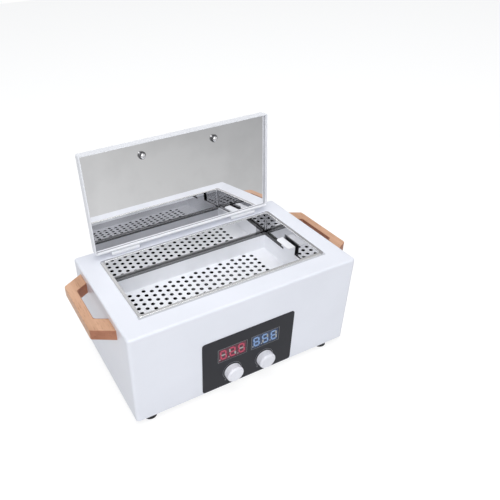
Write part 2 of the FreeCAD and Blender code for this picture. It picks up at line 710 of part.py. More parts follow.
def lid_insulation():
    level = (LINER_FACE + SHEET, LID_TOP - LID_WALL)
    room = LID_WALL + SCREW_LENGTH
    pad = lid_block(LID_EDGE_RADIUS + FIT, level)
    notch_y = (LID_REAR - room, LID_REAR)
    notches = [block(span(side * HINGE_X, HINGE_LENGTH), notch_y, grown(level, FIT)) for side in BOTH]
    pad = pad.cut(notches)
    return opened(pad.cut(lid_bolt_holes(level)))


def lid_dome_nuts():
    """Domed caps on the liner, over the ends of the handle's bolts."""
    caps = []
    for x, y in lid_bolt_places():
        seat = LINER_FACE - DOME_BASE_HEIGHT
        base = rod(DOME_BASE_RADIUS, x, y, seat, Z_AXIS, DOME_BASE_HEIGHT)
        dome = Part.makeSphere(DOME_RADIUS, Vector(x, y, seat))
        lower = block(span(x, 4 * DOME_RADIUS), span(y, 4 * DOME_RADIUS), (seat - 2 * DOME_RADIUS, seat))
        cap = joined([base, dome.common(lower)])
        bore = rod(BOLT_RADIUS, x, y, seat, Z_AXIS, DOME_BASE_HEIGHT + FIT)
        caps.append(cap.cut(bore))
    return opened(group(caps))


def lid_handle_bolts():
    bottom = LINER_FACE - DOME_BASE_HEIGHT
    length = LID_TOP + BOLT_IN_WOOD - bottom
    return opened(group([rod(BOLT_RADIUS, x, y, bottom, Z_AXIS, length) for x, y in lid_bolt_places()]))


# Hinges
def leaf_screw_places():
    """Screws of the lid leaf, in X and Z with the lid closed."""
    z = HINGE_Z + KNUCKLE_RADIUS + FIT + LEAF_HEIGHT / 2
    return [(side * HINGE_X + end * HINGE_LENGTH / 3, z) for side in BOTH for end in BOTH]


def hinge_base_screw_places():
    y = HINGE_Y + LEAF_WIDTH * LEAF_SCREW_SHARE
    return [(side * HINGE_X + end * HINGE_LENGTH / 3, y) for side in BOTH for end in BOTH]


def knuckle(x):
    """A piece of the barrel between two limits in X."""
    tube = rod(KNUCKLE_RADIUS, x[0], HINGE_Y, HINGE_Z, X_AXIS, x[1] - x[0])
    bore = rod(PIN_RADIUS + RUNNING_FIT, x[0] - FIT, HINGE_Y, HINGE_Z, X_AXIS, x[1] - x[0] + 2 * FIT)
    return tube, bore


def hinge_base(side):
    """The fixed leaf on the case top, with the two outer knuckles and a lug that stops the open lid."""
    centre = side * HINGE_X
    middle = HINGE_LENGTH * KNUCKLE_SHARE / 2 + FIT / 2
    leaf_y = (HINGE_Y, HINGE_Y + LEAF_WIDTH)
    body = block(span(centre, HINGE_LENGTH), leaf_y, (CASE_TOP, CASE_TOP + LEAF_THICKNESS))
    pieces = [body]
    bores = []
    for end in BOTH:
        limits = sorted((centre + end * middle, centre + end * HINGE_LENGTH / 2))
        tube, bore = knuckle(limits)
        web = block(limits, (HINGE_Y, HINGE_Y + KNUCKLE_RADIUS), (CASE_TOP, HINGE_Z))
        pieces += [tube, web]
        bores.append(bore)
    tip = STOP_REACH + LEAF_THICKNESS
    lean = math.radians(LID_OPEN_ANGLE - 90)
    leaf_face = (HINGE_AXIS_BEHIND_LID - LEAF_THICKNESS) / math.cos(lean)
    lug_top = HINGE_Z + leaf_face - tip * math.tan(lean) - FIT
    lug_y = (HINGE_Y + STOP_REACH - LEAF_THICKNESS, HINGE_Y + tip)
    lug = block(span(centre, HINGE_LENGTH * KNUCKLE_SHARE), lug_y, (CASE_TOP, lug_top))
    base = joined(pieces + [lug])
    notch_y = (HINGE_Y - FIT, HINGE_Y + KNUCKLE_RADIUS + FIT)
    base = base.cut(block(span(centre, 2 * middle), notch_y, (CASE_TOP - FIT, HINGE_Z)))
    for x, y in hinge_base_screw_places():
        bores.append(rod(SCREW_HOLE, x, y, CASE_TOP - FIT, Z_AXIS, LEAF_THICKNESS + 2 * FIT))
    return base.cut(bores)


def hinge_leaf(side):
    """The moving leaf on the lid's rear wall, with the middle knuckle."""
    centre = side * HINGE_X
    x = span(centre, HINGE_LENGTH)
    middle = span(centre, HINGE_LENGTH * KNUCKLE_SHARE - FIT)
    bottom = HINGE_Z + KNUCKLE_RADIUS + FIT
    plate = block(x, (LID_REAR, LID_REAR + LEAF_THICKNESS), (bottom, bottom + LEAF_HEIGHT))
    tube, bore = knuckle(middle)
    web = block(middle, (LID_REAR, HINGE_Y), (HINGE_Z, bottom))
    web = web.common(block(middle, (LID_REAR, LID_REAR + 2 * LEAF_THICKNESS), (HINGE_Z, bottom)))
    leaf = joined([plate, tube, web])
    bores = [bore]
    for sx, sz in leaf_screw_places():
        bores.append(rod(SCREW_HOLE, sx, LID_REAR - FIT, sz, Y_AXIS, LEAF_THICKNESS + 2 * FIT))
    return opened(leaf.cut(bores))


def hinge_pins():
    pins = []
    for side in BOTH:
        start = side * HINGE_X - HINGE_LENGTH / 2
        pins.append(rod(PIN_RADIUS, start, HINGE_Y, HINGE_Z, X_AXIS, HINGE_LENGTH))
    return group(pins)


def hinge_base_screws():
    screw = pan_screw(SCREW_LENGTH, SCREW_RADIUS, SCREW_HEAD_RADIUS * 0.8)
    return group([moved(screw, x, y, CASE_TOP + LEAF_THICKNESS) for x, y in hinge_base_screw_places()])


def hinge_leaf_screws():
    screw = turned_to(pan_screw(SCREW_LENGTH * 0.7, SCREW_RADIUS, SCREW_HEAD_RADIUS * 0.8), Y_AXIS)
    places = leaf_screw_places()
    return opened(group([moved(screw, x, LID_REAR + LEAF_THICKNESS, z) for x, z in places]))


# Wooden handles
def upright_plate(points, half):
    """A plate in X and Y from its outline, as far above the middle as below."""
    outline = [Vector(x, y, -half) for x, y in points]
    return Part.Face(Part.makePolygon(outline + outline[:1])).extrude(Vector(0, 0, 2 * half))


def handle_bracket(extra, thickness):
    """A wooden bracket, flat in X and Y: its seat is on X zero, it reaches towards +X."""
    base = (HANDLE_LENGTH + extra) / 2
    grip = (HANDLE_GRIP_LENGTH + extra) / 2
    window = base - HANDLE_LEG
    inner = (HANDLE_WINDOW_LENGTH + extra) / 2
    inside = HANDLE_REACH - HANDLE_BAR
    half = thickness / 2
    body = upright_plate(((0, -base), (HANDLE_REACH, -grip), (HANDLE_REACH, grip), (0, base)), half)
    far = [edge for edge in edges_along(body, Z_AXIS) if edge.CenterOfMass.x > HANDLE_REACH / 2]
    body = body.makeFillet(HANDLE_CORNER_RADIUS, far)
    flat_edges = edges_at(body, Z_AXIS, half) + edges_at(body, Z_AXIS, -half)
    body = body.makeFillet(HANDLE_ROUND, [edge for edge in flat_edges if edge.CenterOfMass.x > FIT / 2])
    tool = upright_plate(((-FIT, -window), (inside, -inner), (inside, inner), (-FIT, window)), half + FIT)
    near = [edge for edge in edges_along(tool, Z_AXIS) if edge.CenterOfMass.x > inside / 2]
    tool = tool.makeFillet(HANDLE_WINDOW_RADIUS, near)
    body = body.cut(tool)
    for end in BOTH:
        y = end * (HANDLE_BOLT_SPACING + extra) / 2
        body = body.cut(rod(BOLT_RADIUS, -FIT, y, 0, X_AXIS, BOLT_IN_WOOD + FIT))
    return body


def side_handle(side):
    handle = handle_bracket(0, HANDLE_THICKNESS)
    if side == LEFT:
        handle.rotate(Vector(0, 0, 0), Z_AXIS, 180)
    return moved(handle, side * SIDE, HANDLE_OFFSET_Y, HANDLE_LEVEL)


def lid_handle():
    handle = handle_bracket(LID_HANDLE_EXTRA, LID_HANDLE_THICKNESS)
    handle.rotate(Vector(0, 0, 0), Z_AXIS, 90)
    handle.rotate(Vector(0, 0, 0), X_AXIS, 90)
    return opened(moved(handle, 0, LID_FRONT + LID_HANDLE_INSET, LID_TOP))


def handle_screws():
    """Screws from inside the case into the side handles."""
    screws = []
    length = CASE_WALL + BOLT_IN_WOOD - FIT
    for side in BOTH:
        screw = turned_to(pan_screw(length, BOLT_RADIUS, SCREW_HEAD_RADIUS * 1.2), Vector(-side, 0, 0))
        for end in BOTH:
            y = HANDLE_OFFSET_Y + end * HANDLE_BOLT_SPACING / 2
            screws.append(moved(screw, side * (SIDE - CASE_WALL), y, HANDLE_LEVEL))
    return group(screws)


# Control panel
def control_panel():
    z = (PANEL_BOTTOM, PANEL_BOTTOM + PANEL_HEIGHT)
    plate = rounded_block(span(0, PANEL_WIDTH), (PANEL_FACE, FRONT), z, PANEL_CORNER_RADIUS, Y_AXIS)
    through = (PANEL_FACE - FIT, FRONT + FIT)
    tools = []
    for side in BOTH:
        window_x = span(side * DISPLAY_X, DISPLAY_WIDTH + FIT)
        tools.append(block(window_x, through, span(DISPLAY_LEVEL, DISPLAY_HEIGHT + FIT)))
        length = through[1] - through[0]
        tools.append(rod(BUSHING_RADIUS + FIT, side * KNOB_X, through[0], KNOB_LEVEL, Y_AXIS, length))
    return plate.cut(tools)


def display_module(side):
    x = span(side * DISPLAY_X, DISPLAY_WIDTH)
    return block(x, (DISPLAY_FACE, CONTROL_BOARD_FRONT), span(DISPLAY_LEVEL, DISPLAY_HEIGHT))


def segment_plate(x, z, length, upright):
    """One segment, a bar with pointed ends, thin in Y and standing on the display's face."""
    half = length / 2 - SEGMENT_GAP
    point = SEGMENT_WIDTH / 2
    upper = ((-half, 0), (-half + point, point), (half - point, point))
    lower = ((half, 0), (half - point, -point), (-half + point, -point))
    places = []
    for along, across in upper + lower:
        px, pz = (across, along) if upright else (along, across)
        lean = (z + pz) * math.tan(math.radians(DIGIT_SLANT))
        places.append(Vector(x + px + lean, 0, z + pz))
    face = Part.Face(Part.makePolygon(places + places[:1]))
    return face.extrude(Vector(0, -SEGMENT_THICKNESS, 0))


def digit_segments(lit, wanted):
    """The lit or the unlit segments of one digit, about its own centre."""
    half_w = (DIGIT_WIDTH - SEGMENT_WIDTH) / 2
    half_h = (DIGIT_HEIGHT - SEGMENT_WIDTH) / 2
    places = {
        "top": (0, half_h, 2 * half_w, False),
        "middle": (0, 0, 2 * half_w, False),
        "bottom": (0, -half_h, 2 * half_w, False),
        "upper_left": (-half_w, half_h / 2, half_h, True),
        "upper_right": (half_w, half_h / 2, half_h, True),
        "lower_left": (-half_w, -half_h / 2, half_h, True),
        "lower_right": (half_w, -half_h / 2, half_h, True),
    }
    return [segment_plate(*place) for name, place in places.items() if (name in lit) == wanted]


RING = ("top", "bottom", "upper_left", "upper_right", "lower_left", "lower_right")
TWO = ("top", "middle", "bottom", "upper_right", "lower_left")
FIVE = ("top", "middle", "bottom", "upper_left", "lower_right")
EIGHT = RING + ("middle",)
BRACKET = ("top", "middle", "bottom", "upper_left", "lower_left")
LEFT_DIGITS = (RING, TWO, RING)
RIGHT_DIGITS = (EIGHT, FIVE, BRACKET)


def decimal_point():
    """The small square point at the foot of a digit, never lit."""
    foot = (SEGMENT_WIDTH - DIGIT_HEIGHT) / 2
    lean = foot * math.tan(math.radians(DIGIT_SLANT))
    x = lean - DIGIT_WIDTH / 2 - POINT_GAP - POINT_SIZE / 2
    return block(span(x, POINT_SIZE), (-SEGMENT_THICKNESS, 0), span(foot, POINT_SIZE))


def display_segments(side, digits, wanted):
    pieces = []
    for index, lit in enumerate(digits):
        x = side * DISPLAY_X + (index - 1) * DIGIT_PITCH
        shown = digit_segments(lit, wanted)
        if not wanted:
            shown.append(decimal_point())
        for piece in shown:
            pieces.append(moved(piece, x, DISPLAY_FACE, DISPLAY_LEVEL))
    return group(pieces)


# Knobs and rotary controls
def knob(side):
    """A fluted knob with a raised face, hollow behind, on a bored boss."""
    back = PANEL_FACE - KNOB_GAP
    rim = KNOB_HEIGHT - KNOB_FACE_HEIGHT
    body = rod(KNOB_RADIUS, 0, 0, 0, Z_AXIS, rim)
    body = softened(body, Z_AXIS, rim, KNOB_FACE_HEIGHT / 2)
    face_top = KNOB_FACE_RADIUS - KNOB_FACE_HEIGHT
    face = Part.makeCone(KNOB_FACE_RADIUS, face_top, KNOB_FACE_HEIGHT, Vector(0, 0, rim))
    body = joined([body, softened(face, Z_AXIS, KNOB_HEIGHT, KNOB_FACE_HEIGHT / 3)])
    flutes = []
    for index in range(KNOB_FLUTES):
        angle = 2 * math.pi * index / KNOB_FLUTES
        reach = KNOB_RADIUS + KNOB_FLUTE_RADIUS / 3
        start = Vector(reach * math.cos(angle), reach * math.sin(angle), KNOB_WALL / 2)
        flutes.append(Part.makeCylinder(KNOB_FLUTE_RADIUS, KNOB_HEIGHT, start, Z_AXIS))
    body = body.cut(flutes)
    ceiling = KNOB_HEIGHT - KNOB_WALL
    hollow = rod(KNOB_RADIUS - KNOB_WALL, 0, 0, -FIT, Z_AXIS, ceiling - KNOB_FACE_HEIGHT + FIT)
    boss_start = CONTROL_NUT_HEIGHT + FIT
    boss = rod(SHAFT_RADIUS + KNOB_WALL, 0, 0, boss_start, Z_AXIS, ceiling - boss_start)
    body = joined([body.cut(hollow), boss])
    body = body.cut(rod(SHAFT_RADIUS, 0, 0, -FIT, Z_AXIS, ceiling + FIT))
    body = turned_to(body, -Y_AXIS)
    return moved(body, side * KNOB_X, back, KNOB_LEVEL)


def control_shaft(side):
    front = PANEL_FACE - KNOB_GAP - KNOB_HEIGHT + KNOB_WALL
    back = CONTROL_BOARD_FRONT - FIT
    return rod(SHAFT_RADIUS, side * KNOB_X, front, KNOB_LEVEL, Y_AXIS, back - front)


def rotary_control(side):
    """The body of a rotary control on the board, its bushing through the panel."""
    x = side * KNOB_X
    front = PANEL_FACE - KNOB_GAP - CONTROL_NUT_HEIGHT + FIT
    wall_back = FRONT + CASE_WALL
    housing_y = (wall_back, CONTROL_BOARD_FRONT)
    housing = block(span(x, CONTROL_WIDTH), housing_y, span(KNOB_LEVEL, CONTROL_WIDTH))
    bushing = rod(BUSHING_RADIUS, x, front, KNOB_LEVEL, Y_AXIS, wall_back - front + FIT)
    body = joined([housing, bushing])
    length = CONTROL_BOARD_FRONT - front + 2 * FIT
    bore = rod(SHAFT_RADIUS + RUNNING_FIT, x, front - FIT, KNOB_LEVEL, Y_AXIS, length)
    return body.cut(bore)


def control_nuts():
    """The hexagonal nuts that hold the two controls to the panel."""
    points = []
    for index in range(7):
        angle = math.pi * index / 3
        points.append(Vector(math.cos(angle), 0, math.sin(angle)) * CONTROL_NUT_RADIUS)
    nut = Part.Face(Part.makePolygon(points)).extrude(Y_AXIS * CONTROL_NUT_HEIGHT)
    nut = nut.cut(rod(BUSHING_RADIUS, 0, -FIT, 0, Y_AXIS, CONTROL_NUT_HEIGHT + 2 * FIT))
    front = PANEL_FACE - CONTROL_NUT_HEIGHT
    return group([moved(nut, side * KNOB_X, front, KNOB_LEVEL) for side in BOTH])


def control_board():
    x = span(0, CONTROL_BOARD_WIDTH)
    z = span(CONTROL_BOARD_LEVEL, CONTROL_BOARD_HEIGHT)
    board = block(x, (CONTROL_BOARD_FRONT, CONTROL_BOARD_BACK), z)
    hole = rod(SCREW_HOLE, 0, -FIT, 0, Y_AXIS, BOARD_THICKNESS + 2 * FIT)
    places = [(px, CONTROL_BOARD_FRONT, CONTROL_BOARD_LEVEL + pz) for px, pz in CONTROL_PILLAR_PLACES]
    return board.cut([moved(hole, *place) for place in places])


def control_pillars():
    pillars = []
    for px, pz in CONTROL_PILLAR_PLACES:
        start = FRONT + CASE_WALL
        z = CONTROL_BOARD_LEVEL + pz
        pillar = rod(PILLAR_RADIUS, px, start, z, Y_AXIS, CONTROL_BOARD_FRONT - start)
        bore = rod(SCREW_RADIUS, px, start + CASE_WALL, z, Y_AXIS, CONTROL_BOARD_FRONT - start)
        pillars.append(pillar.cut(bore))
    return group(pillars)


def board_screws():
    """Screws that hold both boards on their pillars."""
    length = SCREW_LENGTH - FIT
    back = turned_to(pan_screw(length), Y_AXIS)
    top = pan_screw(length)
    screws = []
    for px, pz in CONTROL_PILLAR_PLACES:
        screws.append(moved(back, px, CONTROL_BOARD_BACK, CONTROL_BOARD_LEVEL + pz))
    for px, py in POWER_PILLAR_PLACES:
        screws.append(moved(top, POWER_BOARD_X + px, POWER_BOARD_Y + py, POWER_BOARD_TOP))
    return group(screws)


# Power board
def power_board():
    x = span(POWER_BOARD_X, POWER_BOARD_LENGTH)
    y = span(POWER_BOARD_Y, POWER_BOARD_WIDTH)
    board = block(x, y, (POWER_BOARD_BOTTOM, POWER_BOARD_TOP))
    hole = rod(SCREW_HOLE, POWER_BOARD_X, POWER_BOARD_Y, -FIT, Z_AXIS, BOARD_THICKNESS + 2 * FIT)
    return board.cut([moved(hole, px, py, POWER_BOARD_BOTTOM) for px, py in POWER_PILLAR_PLACES])


def power_pillars():
    pillar = rod(PILLAR_RADIUS, POWER_BOARD_X, POWER_BOARD_Y, PLATE_TOP, Z_AXIS, PILLAR_HEIGHT)
    bore_start = PLATE_TOP + BOTTOM_THICKNESS
    pillar = pillar.cut(rod(SCREW_RADIUS, POWER_BOARD_X, POWER_BOARD_Y, bore_start, Z_AXIS, PILLAR_HEIGHT))
    return group([moved(pillar, px, py, 0) for px, py in POWER_PILLAR_PLACES])


def power_transformer():
    """A laminated core with its winding bulging out in front and behind."""
    x = POWER_BOARD_X + TRANSFORMER_X
    core_z = (POWER_BOARD_TOP, POWER_BOARD_TOP + TRANSFORMER_HEIGHT)
    core = block(span(x, TRANSFORMER_LENGTH), span(POWER_BOARD_Y, TRANSFORMER_WIDTH * CORE_SHARE), core_z)
    winding_x = span(x, TRANSFORMER_LENGTH * CORE_SHARE)
    winding_y = span(POWER_BOARD_Y, TRANSFORMER_WIDTH)
    winding_z = grown(core_z, -TRANSFORMER_HEIGHT / 5)
    winding = rounded_block(winding_x, winding_y, winding_z, TRANSFORMER_WIDTH / 8, X_AXIS)
    return joined([core, winding])


def power_relay():
    x = span(POWER_BOARD_X + RELAY_X, RELAY_LENGTH)
    level = (POWER_BOARD_TOP, POWER_BOARD_TOP + RELAY_HEIGHT)
    body = rounded_block(x, span(POWER_BOARD_Y, RELAY_WIDTH), level, RELAY_WIDTH / 12)
    return softened(body, Z_AXIS, POWER_BOARD_TOP + RELAY_HEIGHT, RELAY_WIDTH / 16)


# Mains inlet and switch
def inlet_blade_places():
    """The three blades of the inlet: two low at the sides, the earth high in the middle."""
    return [(-BLADE_PITCH, -BLADE_HEIGHT / 2), (0, BLADE_HEIGHT / 2), (BLADE_PITCH, -BLADE_HEIGHT / 2)]


def socket_outline(width, height, y, chamfer):
    """The inlet's outline with its two upper corners cut off."""
    w = width / 2
    h = height / 2
    points = [(-w, -h), (w, -h), (w, h - chamfer), (w - chamfer, h), (chamfer - w, h), (-w, h - chamfer)]
    places = [Vector(INLET_X + px, y, INLET_LEVEL + pz) for px, pz in points]
    return Part.Face(Part.makePolygon(places + places[:1]))


def mains_inlet():
    inner = REAR - INLET_DEPTH + INLET_FLANGE_THICKNESS
    face = REAR + INLET_FLANGE_THICKNESS
    body = socket_outline(INLET_WIDTH, INLET_HEIGHT, inner, INLET_CHAMFER).extrude(Y_AXIS * (face - inner))
    flange_x = span(INLET_X, INLET_FLANGE_WIDTH)
    flange_z = span(INLET_LEVEL, INLET_FLANGE_HEIGHT)
    flange = rounded_block(flange_x, (REAR, face), flange_z, INLET_CHAMFER, Y_AXIS)
    body = joined([body, flange])
    floor = face - INLET_SOCKET_DEPTH
    socket_w = INLET_WIDTH - 2 * INLET_WALL
    socket_h = INLET_HEIGHT - 2 * INLET_WALL
    socket = socket_outline(socket_w, socket_h, floor, INLET_CHAMFER)
    tools = [socket.extrude(Y_AXIS * (INLET_SOCKET_DEPTH + FIT))]
    for bx, bz in inlet_blade_places():
        blade_x = span(INLET_X + bx, BLADE_WIDTH)
        tools.append(block(blade_x, (inner - FIT, floor + FIT), span(INLET_LEVEL + bz, BLADE_HEIGHT)))
    for end in BOTH:
        screw_x = INLET_X + end * INLET_SCREW_SPACING / 2
        tools.append(rod(SCREW_HOLE, screw_x, REAR - FIT, INLET_LEVEL, Y_AXIS, face - REAR + 2 * FIT))
    return body.cut(tools)


def inlet_blades():
    floor = REAR + INLET_FLANGE_THICKNESS - INLET_SOCKET_DEPTH
    inner = REAR - INLET_DEPTH + INLET_FLANGE_THICKNESS
    y = (inner - BLADE_TAIL, floor + BLADE_REACH)
    blade = block(span(INLET_X, BLADE_WIDTH), y, span(INLET_LEVEL, BLADE_HEIGHT))
    return group([moved(blade, bx, 0, bz) for bx, bz in inlet_blade_places()])


def inlet_screws():
    screw = turned_to(pan_screw(SCREW_LENGTH + INLET_FLANGE_THICKNESS), Y_AXIS)
    y = REAR + INLET_FLANGE_THICKNESS
    return group([moved(screw, INLET_X + end * INLET_SCREW_SPACING / 2, y, INLET_LEVEL) for end in BOTH])


def switch_housing():
    outer_w = SWITCH_WIDTH + 2 * SWITCH_BEZEL
    outer_h = SWITCH_HEIGHT + 2 * SWITCH_BEZEL
    bezel_y = (REAR, REAR + SWITCH_BEZEL_THICKNESS)
    bezel_z = span(INLET_LEVEL, outer_h)
    bezel = rounded_block(span(SWITCH_X, outer_w), bezel_y, bezel_z, SWITCH_BEZEL, Y_AXIS)
    body_y = (REAR + SWITCH_BEZEL_THICKNESS - SWITCH_DEPTH, bezel_y[1])
    body = block(span(SWITCH_X, SWITCH_WIDTH), body_y, span(INLET_LEVEL, SWITCH_HEIGHT))
    well_x = span(SWITCH_X, SWITCH_WIDTH - 2 * SWITCH_WALL)
    well_z = span(INLET_LEVEL, SWITCH_HEIGHT - 2 * SWITCH_WALL)
    well = block(well_x, (body_y[0] + SWITCH_WALL, bezel_y[1] + FIT), well_z)
    length = ROCKER_PIN_LENGTH + 2 * RUNNING_FIT
    radius = ROCKER_PIN_RADIUS + RUNNING_FIT
    pin_hole = rod(radius, SWITCH_X - length / 2, ROCKER_PIVOT_Y, INLET_LEVEL, X_AXIS, length)
    return joined([bezel, body]).cut([well, pin_hole])


def power_rocker():
    """The rocker on its pin, tilted to its off side."""
    width = SWITCH_WIDTH - 2 * SWITCH_WALL - 2 * FIT
    half = SWITCH_HEIGHT / 2 - SWITCH_WALL - ROCKER_CLEAR
    drop = ROCKER_PIVOT_DEPTH - ROCKER_CLEAR
    lift = ROCKER_REACH - ROCKER_PIVOT_DEPTH
    reach = half * math.tan(math.radians(ROCKER_TILT))
    inside = ((-half, -drop / 2), (-half / 2, -drop), (half / 2, -drop), (half, -drop / 2))
    outside = ((half, lift - reach), (0, lift), (-half, lift - reach))
    x = SWITCH_X - width / 2
    back = ROCKER_PIVOT_Y + drop / 2
    places = [Vector(x, back + out, INLET_LEVEL + along) for along, out in inside + outside]
    body = Part.Face(Part.makePolygon(places + places[:1])).extrude(Vector(width, 0, 0))
    pin_x = SWITCH_X - ROCKER_PIN_LENGTH / 2
    pin = rod(ROCKER_PIN_RADIUS, pin_x, ROCKER_PIVOT_Y, INLET_LEVEL, X_AXIS, ROCKER_PIN_LENGTH)
    rocker = joined([body, pin])
    rocker.rotate(Vector(SWITCH_X, ROCKER_PIVOT_Y, INLET_LEVEL), X_AXIS, ROCKER_TILT)
    return rocker


# Wiring looms
def loom(points):
    """A round loom along straight runs joined by arcs."""
    edges = []
    start = Vector(*points[0])
    for before, corner, after in zip(points, points[1:], points[2:]):
        corner = Vector(*corner)
        back = (Vector(*before) - corner).normalize()
        on = (Vector(*after) - corner).normalize()
        half_turn = math.acos(max(-1, min(1, back.dot(on)))) / 2
        cut = LOOM_BEND / math.tan(half_turn)
        middle = (back + on).normalize()
        arc_middle = corner + middle * (LOOM_BEND / math.sin(half_turn) - LOOM_BEND)
        entry = corner + back * cut
        leave = corner + on * cut
        edges.append(Part.LineSegment(start, entry).toShape())
        edges.append(Part.Arc(entry, arc_middle, leave).toShape())
        start = leave
    edges.append(Part.LineSegment(start, Vector(*points[-1])).toShape())
    path = Part.Wire(edges)
    first = edges[0].tangentAt(0)
    circle = Part.Wire(Part.Circle(Vector(*points[0]), first, LOOM_RADIUS).toShape())
    return path.makePipeShell([circle], True, False)


def mains_loom():
    """From the inlet's blades down and across to the power board."""
    tail = REAR - INLET_DEPTH + INLET_FLANGE_THICKNESS - BLADE_TAIL
    board_edge = POWER_BOARD_X + POWER_BOARD_LENGTH / 2 - LOOM_BEND
    level = POWER_BOARD_TOP + LOOM_RADIUS + FIT
    points = (
        (INLET_X, tail, INLET_LEVEL),
        (INLET_X, tail - 2 * LOOM_BEND, INLET_LEVEL),
        (INLET_X - 3 * LOOM_BEND, tail - 2 * LOOM_BEND, level),
        (board_edge, tail - 2 * LOOM_BEND, level),
    )
    return loom(points)


def heater_leads():
    """Two leads straight up from the power board, through the blanket, to the heater."""
    length = HEATER_BOTTOM - POWER_BOARD_TOP
    places = heater_lead_places()
    return group([rod(LEAD_RADIUS, x, y, POWER_BOARD_TOP, Z_AXIS, length) for x, y in places])


def control_ribbon():
    """A flat ribbon cable from the control board back and down to the power board."""
    x = span(POWER_BOARD_X, RIBBON_WIDTH)
    board_edge = POWER_BOARD_Y - POWER_BOARD_WIDTH / 2
    high = POWER_BOARD_TOP + RIBBON_DROP
    turn = CONTROL_BOARD_BACK + RIBBON_DROP
    plug_x = grown(x, RIBBON_THICKNESS)
    plug_y = (CONTROL_BOARD_BACK, CONTROL_BOARD_BACK + 3 * RIBBON_THICKNESS)
    plug = block(plug_x, plug_y, span(high, 4 * RIBBON_THICKNESS))
    run = block(x, (CONTROL_BOARD_BACK, turn), span(high, RIBBON_THICKNESS))
    drop = block(x, (turn - RIBBON_THICKNESS, turn), (POWER_BOARD_TOP, high + RIBBON_THICKNESS / 2))
    across_y = (turn - RIBBON_THICKNESS, board_edge + RIBBON_WIDTH)
    across = block(x, across_y, (POWER_BOARD_TOP, POWER_BOARD_TOP + RIBBON_THICKNESS))
    socket_y = (board_edge + PILLAR_INSET, board_edge + PILLAR_INSET + RIBBON_WIDTH)
    socket = block(plug_x, socket_y, (POWER_BOARD_TOP, POWER_BOARD_TOP + 4 * RIBBON_THICKNESS))
    return joined([plug, run, drop, across, socket])


# Everything, by name
def all_parts():
    return {
        "case_shell": case_shell(),
        "bottom_plate": bottom_plate(),
        "bottom_screws": bottom_screws(),
        "rubber_feet": rubber_feet(),
        "foot_screws": foot_screws(),
        "chamber_basin": chamber_basin(),
        "tray_rests": tray_rests(),
        "heater_plate": heater_plate(),
        "heater_clamp": heater_clamp(),
        "thermal_cutout": thermal_cutout(),
        "temperature_probe": temperature_probe(),
        "insulation_blanket": insulation_blanket(),
        "tray": tray(),
        "lid_shell": lid_shell(),
        "lid_liner": lid_liner(),
        "lid_insulation": lid_insulation(),
        "lid_dome_nuts": lid_dome_nuts(),
        "lid_handle_bolts": lid_handle_bolts(),
        "lid_handle": lid_handle(),
        "left_hinge_base": hinge_base(LEFT),
        "right_hinge_base": hinge_base(RIGHT),
        "left_hinge_leaf": hinge_leaf(LEFT),
        "right_hinge_leaf": hinge_leaf(RIGHT),
        "hinge_pins": hinge_pins(),
        "hinge_base_screws": hinge_base_screws(),
        "hinge_leaf_screws": hinge_leaf_screws(),
        "left_handle": side_handle(LEFT),
        "right_handle": side_handle(RIGHT),
        "handle_screws": handle_screws(),
        "control_panel": control_panel(),
        "left_display": display_module(LEFT),
        "left_digits_lit": display_segments(LEFT, LEFT_DIGITS, True),
        "left_digits_unlit": display_segments(LEFT, LEFT_DIGITS, False),
        "right_display": display_module(RIGHT),
        "right_digits_lit": display_segments(RIGHT, RIGHT_DIGITS, True),
        "right_digits_unlit": display_segments(RIGHT, RIGHT_DIGITS, False),
        "left_knob": knob(LEFT),
        "right_knob": knob(RIGHT),
        "left_shaft": control_shaft(LEFT),
        "right_shaft": control_shaft(RIGHT),
        "left_control": rotary_control(LEFT),
        "right_control": rotary_control(RIGHT),
        "control_nuts": control_nuts(),
        "control_board": control_board(),
        "control_pillars": control_pillars(),
        "board_screws": board_screws(),
        "power_board": power_board(),
        "power_pillars": power_pillars(),
        "power_transformer": power_transformer(),
        "power_relay": power_relay(),
        "mains_inlet": mains_inlet(),
        "inlet_blades": inlet_blades(),
        "inlet_screws": inlet_screws(),
        "switch_housing": switch_housing(),
        "power_rocker": power_rocker(),
        "mains_loom": mains_loom(),
        "heater_leads": heater_leads(),
        "control_ribbon": control_ribbon(),
    }


def centred(parts):
    """The parts moved so that the origin is under the middle of them all, on the standing surface."""
    box = group(parts.values()).optimalBoundingBox(True, False)
    shift = Vector(-(box.XMin + box.XMax) / 2, -(box.YMin + box.YMax) / 2, -box.ZMin)
    print("moved by", round(shift.x, 4), round(shift.y, 4), round(shift.z, 4))
    print("size", round(box.XLength, 3), round(box.YLength, 3), round(box.ZLength, 3))
    return {name: moved(shape, *shift) for name, shape in parts.items()}


def write_parts():
    os.makedirs("parts", exist_ok=True)
    for name, shape in centred(all_parts()).items():
        solids = shape.Solids
        if not solids or not shape.isValid():
            raise ValueError(name + " is not a valid solid")
        shape.exportStep("parts/" + name + ".step")
        print(name, len(solids), "solids", round(shape.Volume / 1000, 2), "cm3")


write_parts()
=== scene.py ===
# %% [markdown]
# # A dry heat sterilizer
# This lesson dresses a bench sterilizer: a white enamelled case with a sunk steel chamber, a
# perforated tray, a lid with a mirror liner, wooden handles and a control panel with two displays.
# The shapes of the real parts come ready made, in metres. What is left to do is the finish of
# every part, the printed marks on the panel, the light and the camera.
#
# The first cell loads the parts and moves each one into world coordinates; part_box reads a part's box
# from its mesh.

# %% Load the parts
import bmesh
import bpy
import json
import math
from mathutils import Matrix, Quaternion, Vector


